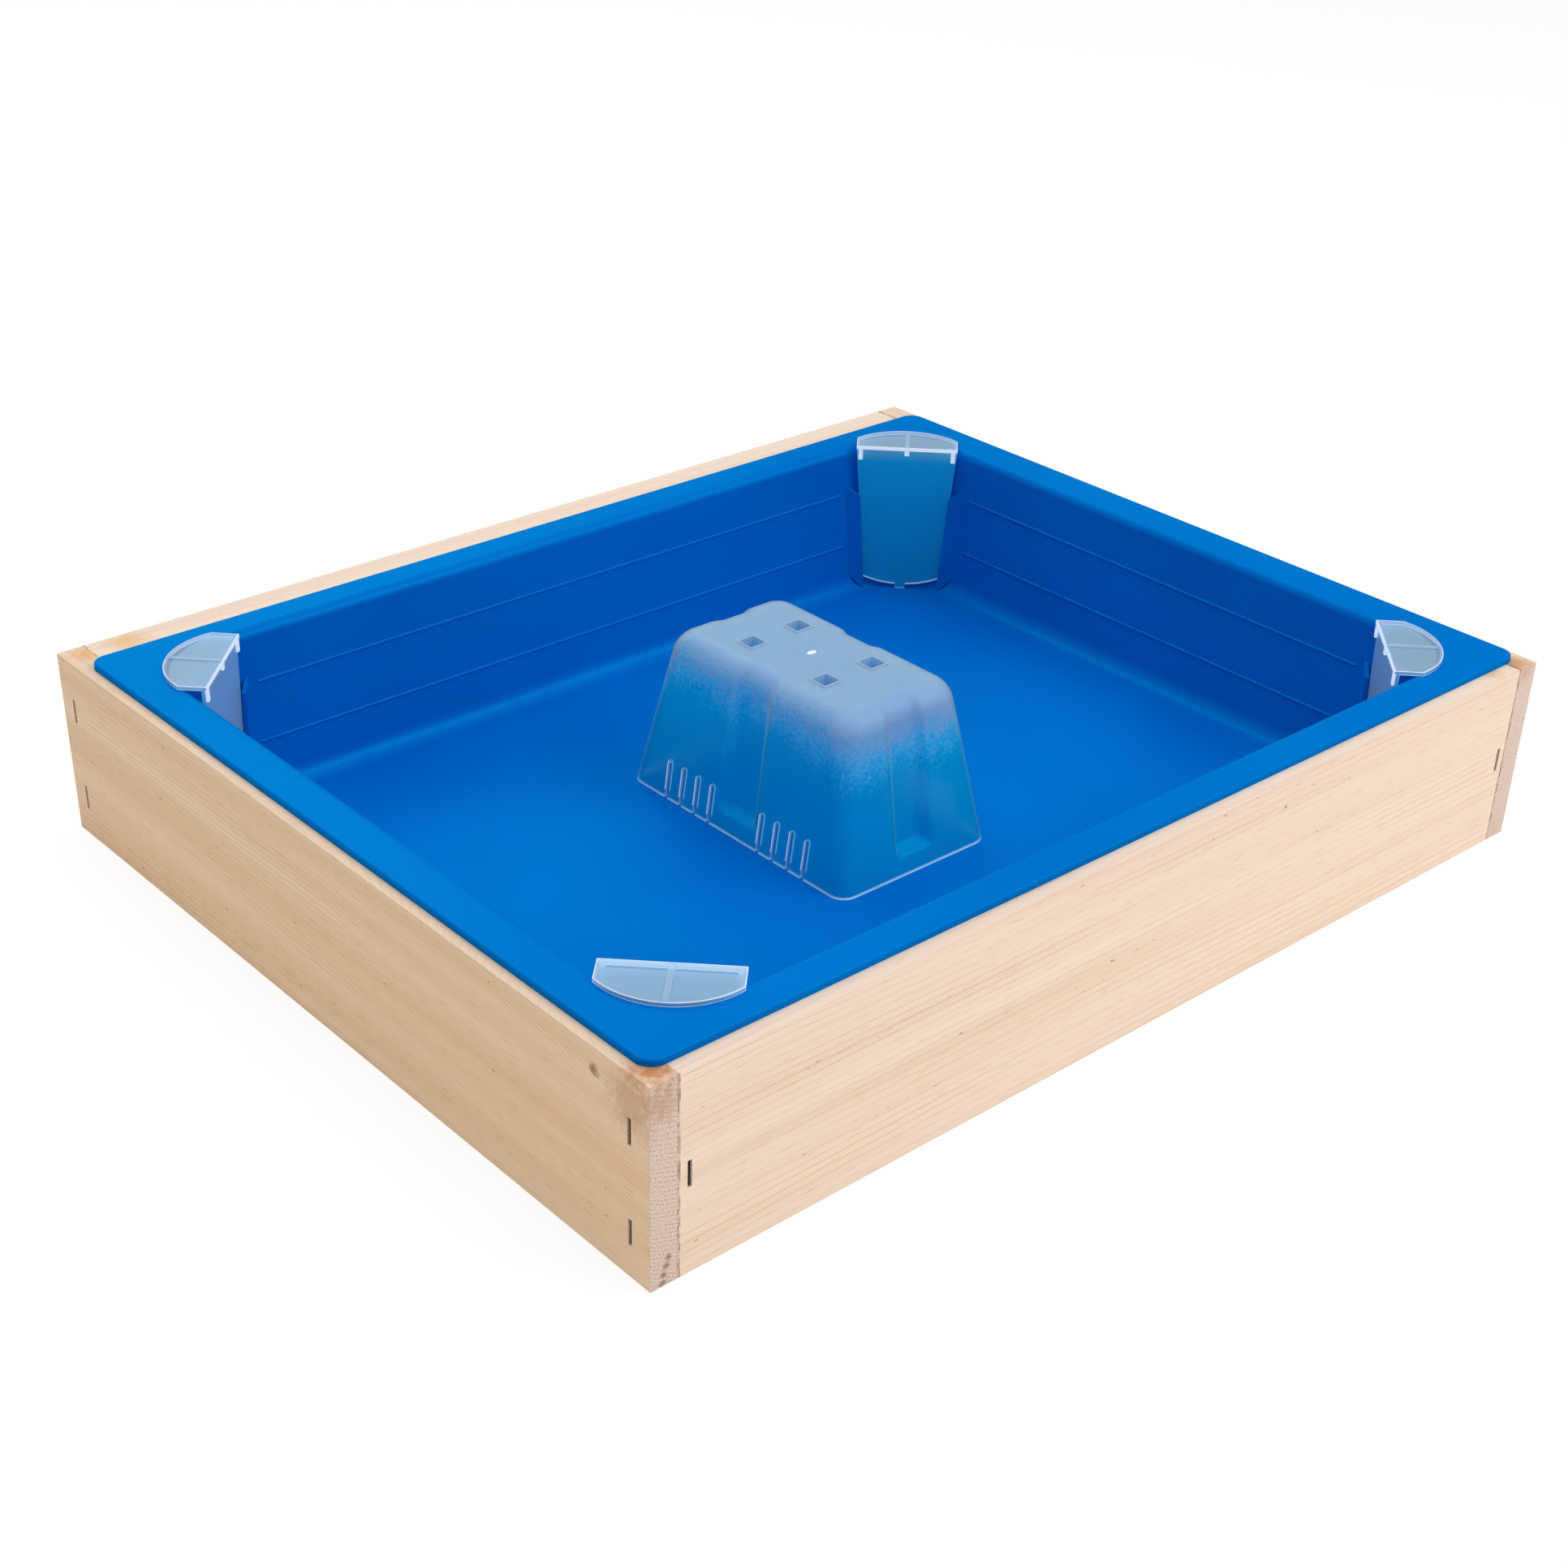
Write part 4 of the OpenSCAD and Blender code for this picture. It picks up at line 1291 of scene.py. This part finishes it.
lamp("key", (0.9, -1.3, 1.5), (0, 0, 0), 1.4, 17.5)
lamp("back", (0.2, 1.5, 1.4), (0, 0, 0), 1.4, 8)
lamp("top", (-0.2, 0.1, 2.0), (0, 0, 0), 1.6, 13)
print("lamps:", [light.name for light in bpy.data.lights])

# %% [markdown]
# The floor is a sheet of white paper that is lit a little from below. To be white in the picture it would
# need more light than the object can take, so the camera sees most of it as plain white, and the rest of
# it keeps the shadow.

# %% Floor
BACKLIGHT = 0.3
PLAIN_WHITE = 0.75
FLOOR_SIZE = 12
FLOOR_DROP = 0.05 * MM
floor = start("plane", size=FLOOR_SIZE, location=(0, 0, -FLOOR_DROP))
floor.name = "floor"
made, tree = blank_material("white_floor")
sheet = add(tree, "BsdfDiffuse", {"Color": srgb("#f4f4f4")})
backlight = add(tree, "Emission", {"Color": grey(1.0), "Strength": BACKLIGHT})
paper = add(tree, "AddShader", {0: sheet, 1: backlight})
glow = add(tree, "Emission", {"Color": grey(1.0), "Strength": 1.0})
seen = add(tree, "LightPath", out="Is Camera Ray")
share = add(tree, "Math", {0: seen, 1: PLAIN_WHITE}, operation="MULTIPLY")
add(tree, "OutputMaterial", {"Surface": add(tree, "MixShader", {"Fac": share, 1: paper, 2: glow})})
floor.data.materials.append(made)
print("floor:", [round(v, 1) for v in floor.dimensions], "m")

# %% [markdown]
# The camera stands where the photograph was taken. Its place and turn come from the corners of the rim,
# whose size is known: the picture's width in pixels and the focal length in pixels give the lens.

# %% Camera
IMAGE_W = 1932
FOCAL_PX = 2930.83
CENTRE_PX = (921.35, 1086.61)
HEADING = math.radians(41.391)
LOOK_DOWN = math.radians(31.223)
ROLL = math.radians(1.263)
STAND = Vector((-642.64, -695.06, 544.68)) * MM
camera_data = bpy.data.cameras.new("photo_camera")
camera_data.sensor_width = 36
camera_data.lens = FOCAL_PX / IMAGE_W * camera_data.sensor_width
camera_data.shift_x = (IMAGE_W / 2 - CENTRE_PX[0]) / IMAGE_W
camera_data.shift_y = (CENTRE_PX[1] - IMAGE_W / 2) / IMAGE_W
camera = bpy.data.objects.new("photo_camera", camera_data)
scene.collection.objects.link(camera)
turn = Matrix.Rotation(-HEADING, 4, "Z") @ Matrix.Rotation(math.pi / 2 - LOOK_DOWN, 4, "X")
camera.matrix_world = Matrix.Translation(STAND) @ turn @ Matrix.Rotation(ROLL, 4, "Z")
scene.camera = camera
print("lens:", round(camera_data.lens, 2), "mm")

# %% [markdown]
# ## The end
# Last, the view layer is brought up to date.

# %% Bring the scene up to date
bpy.context.view_layer.update()
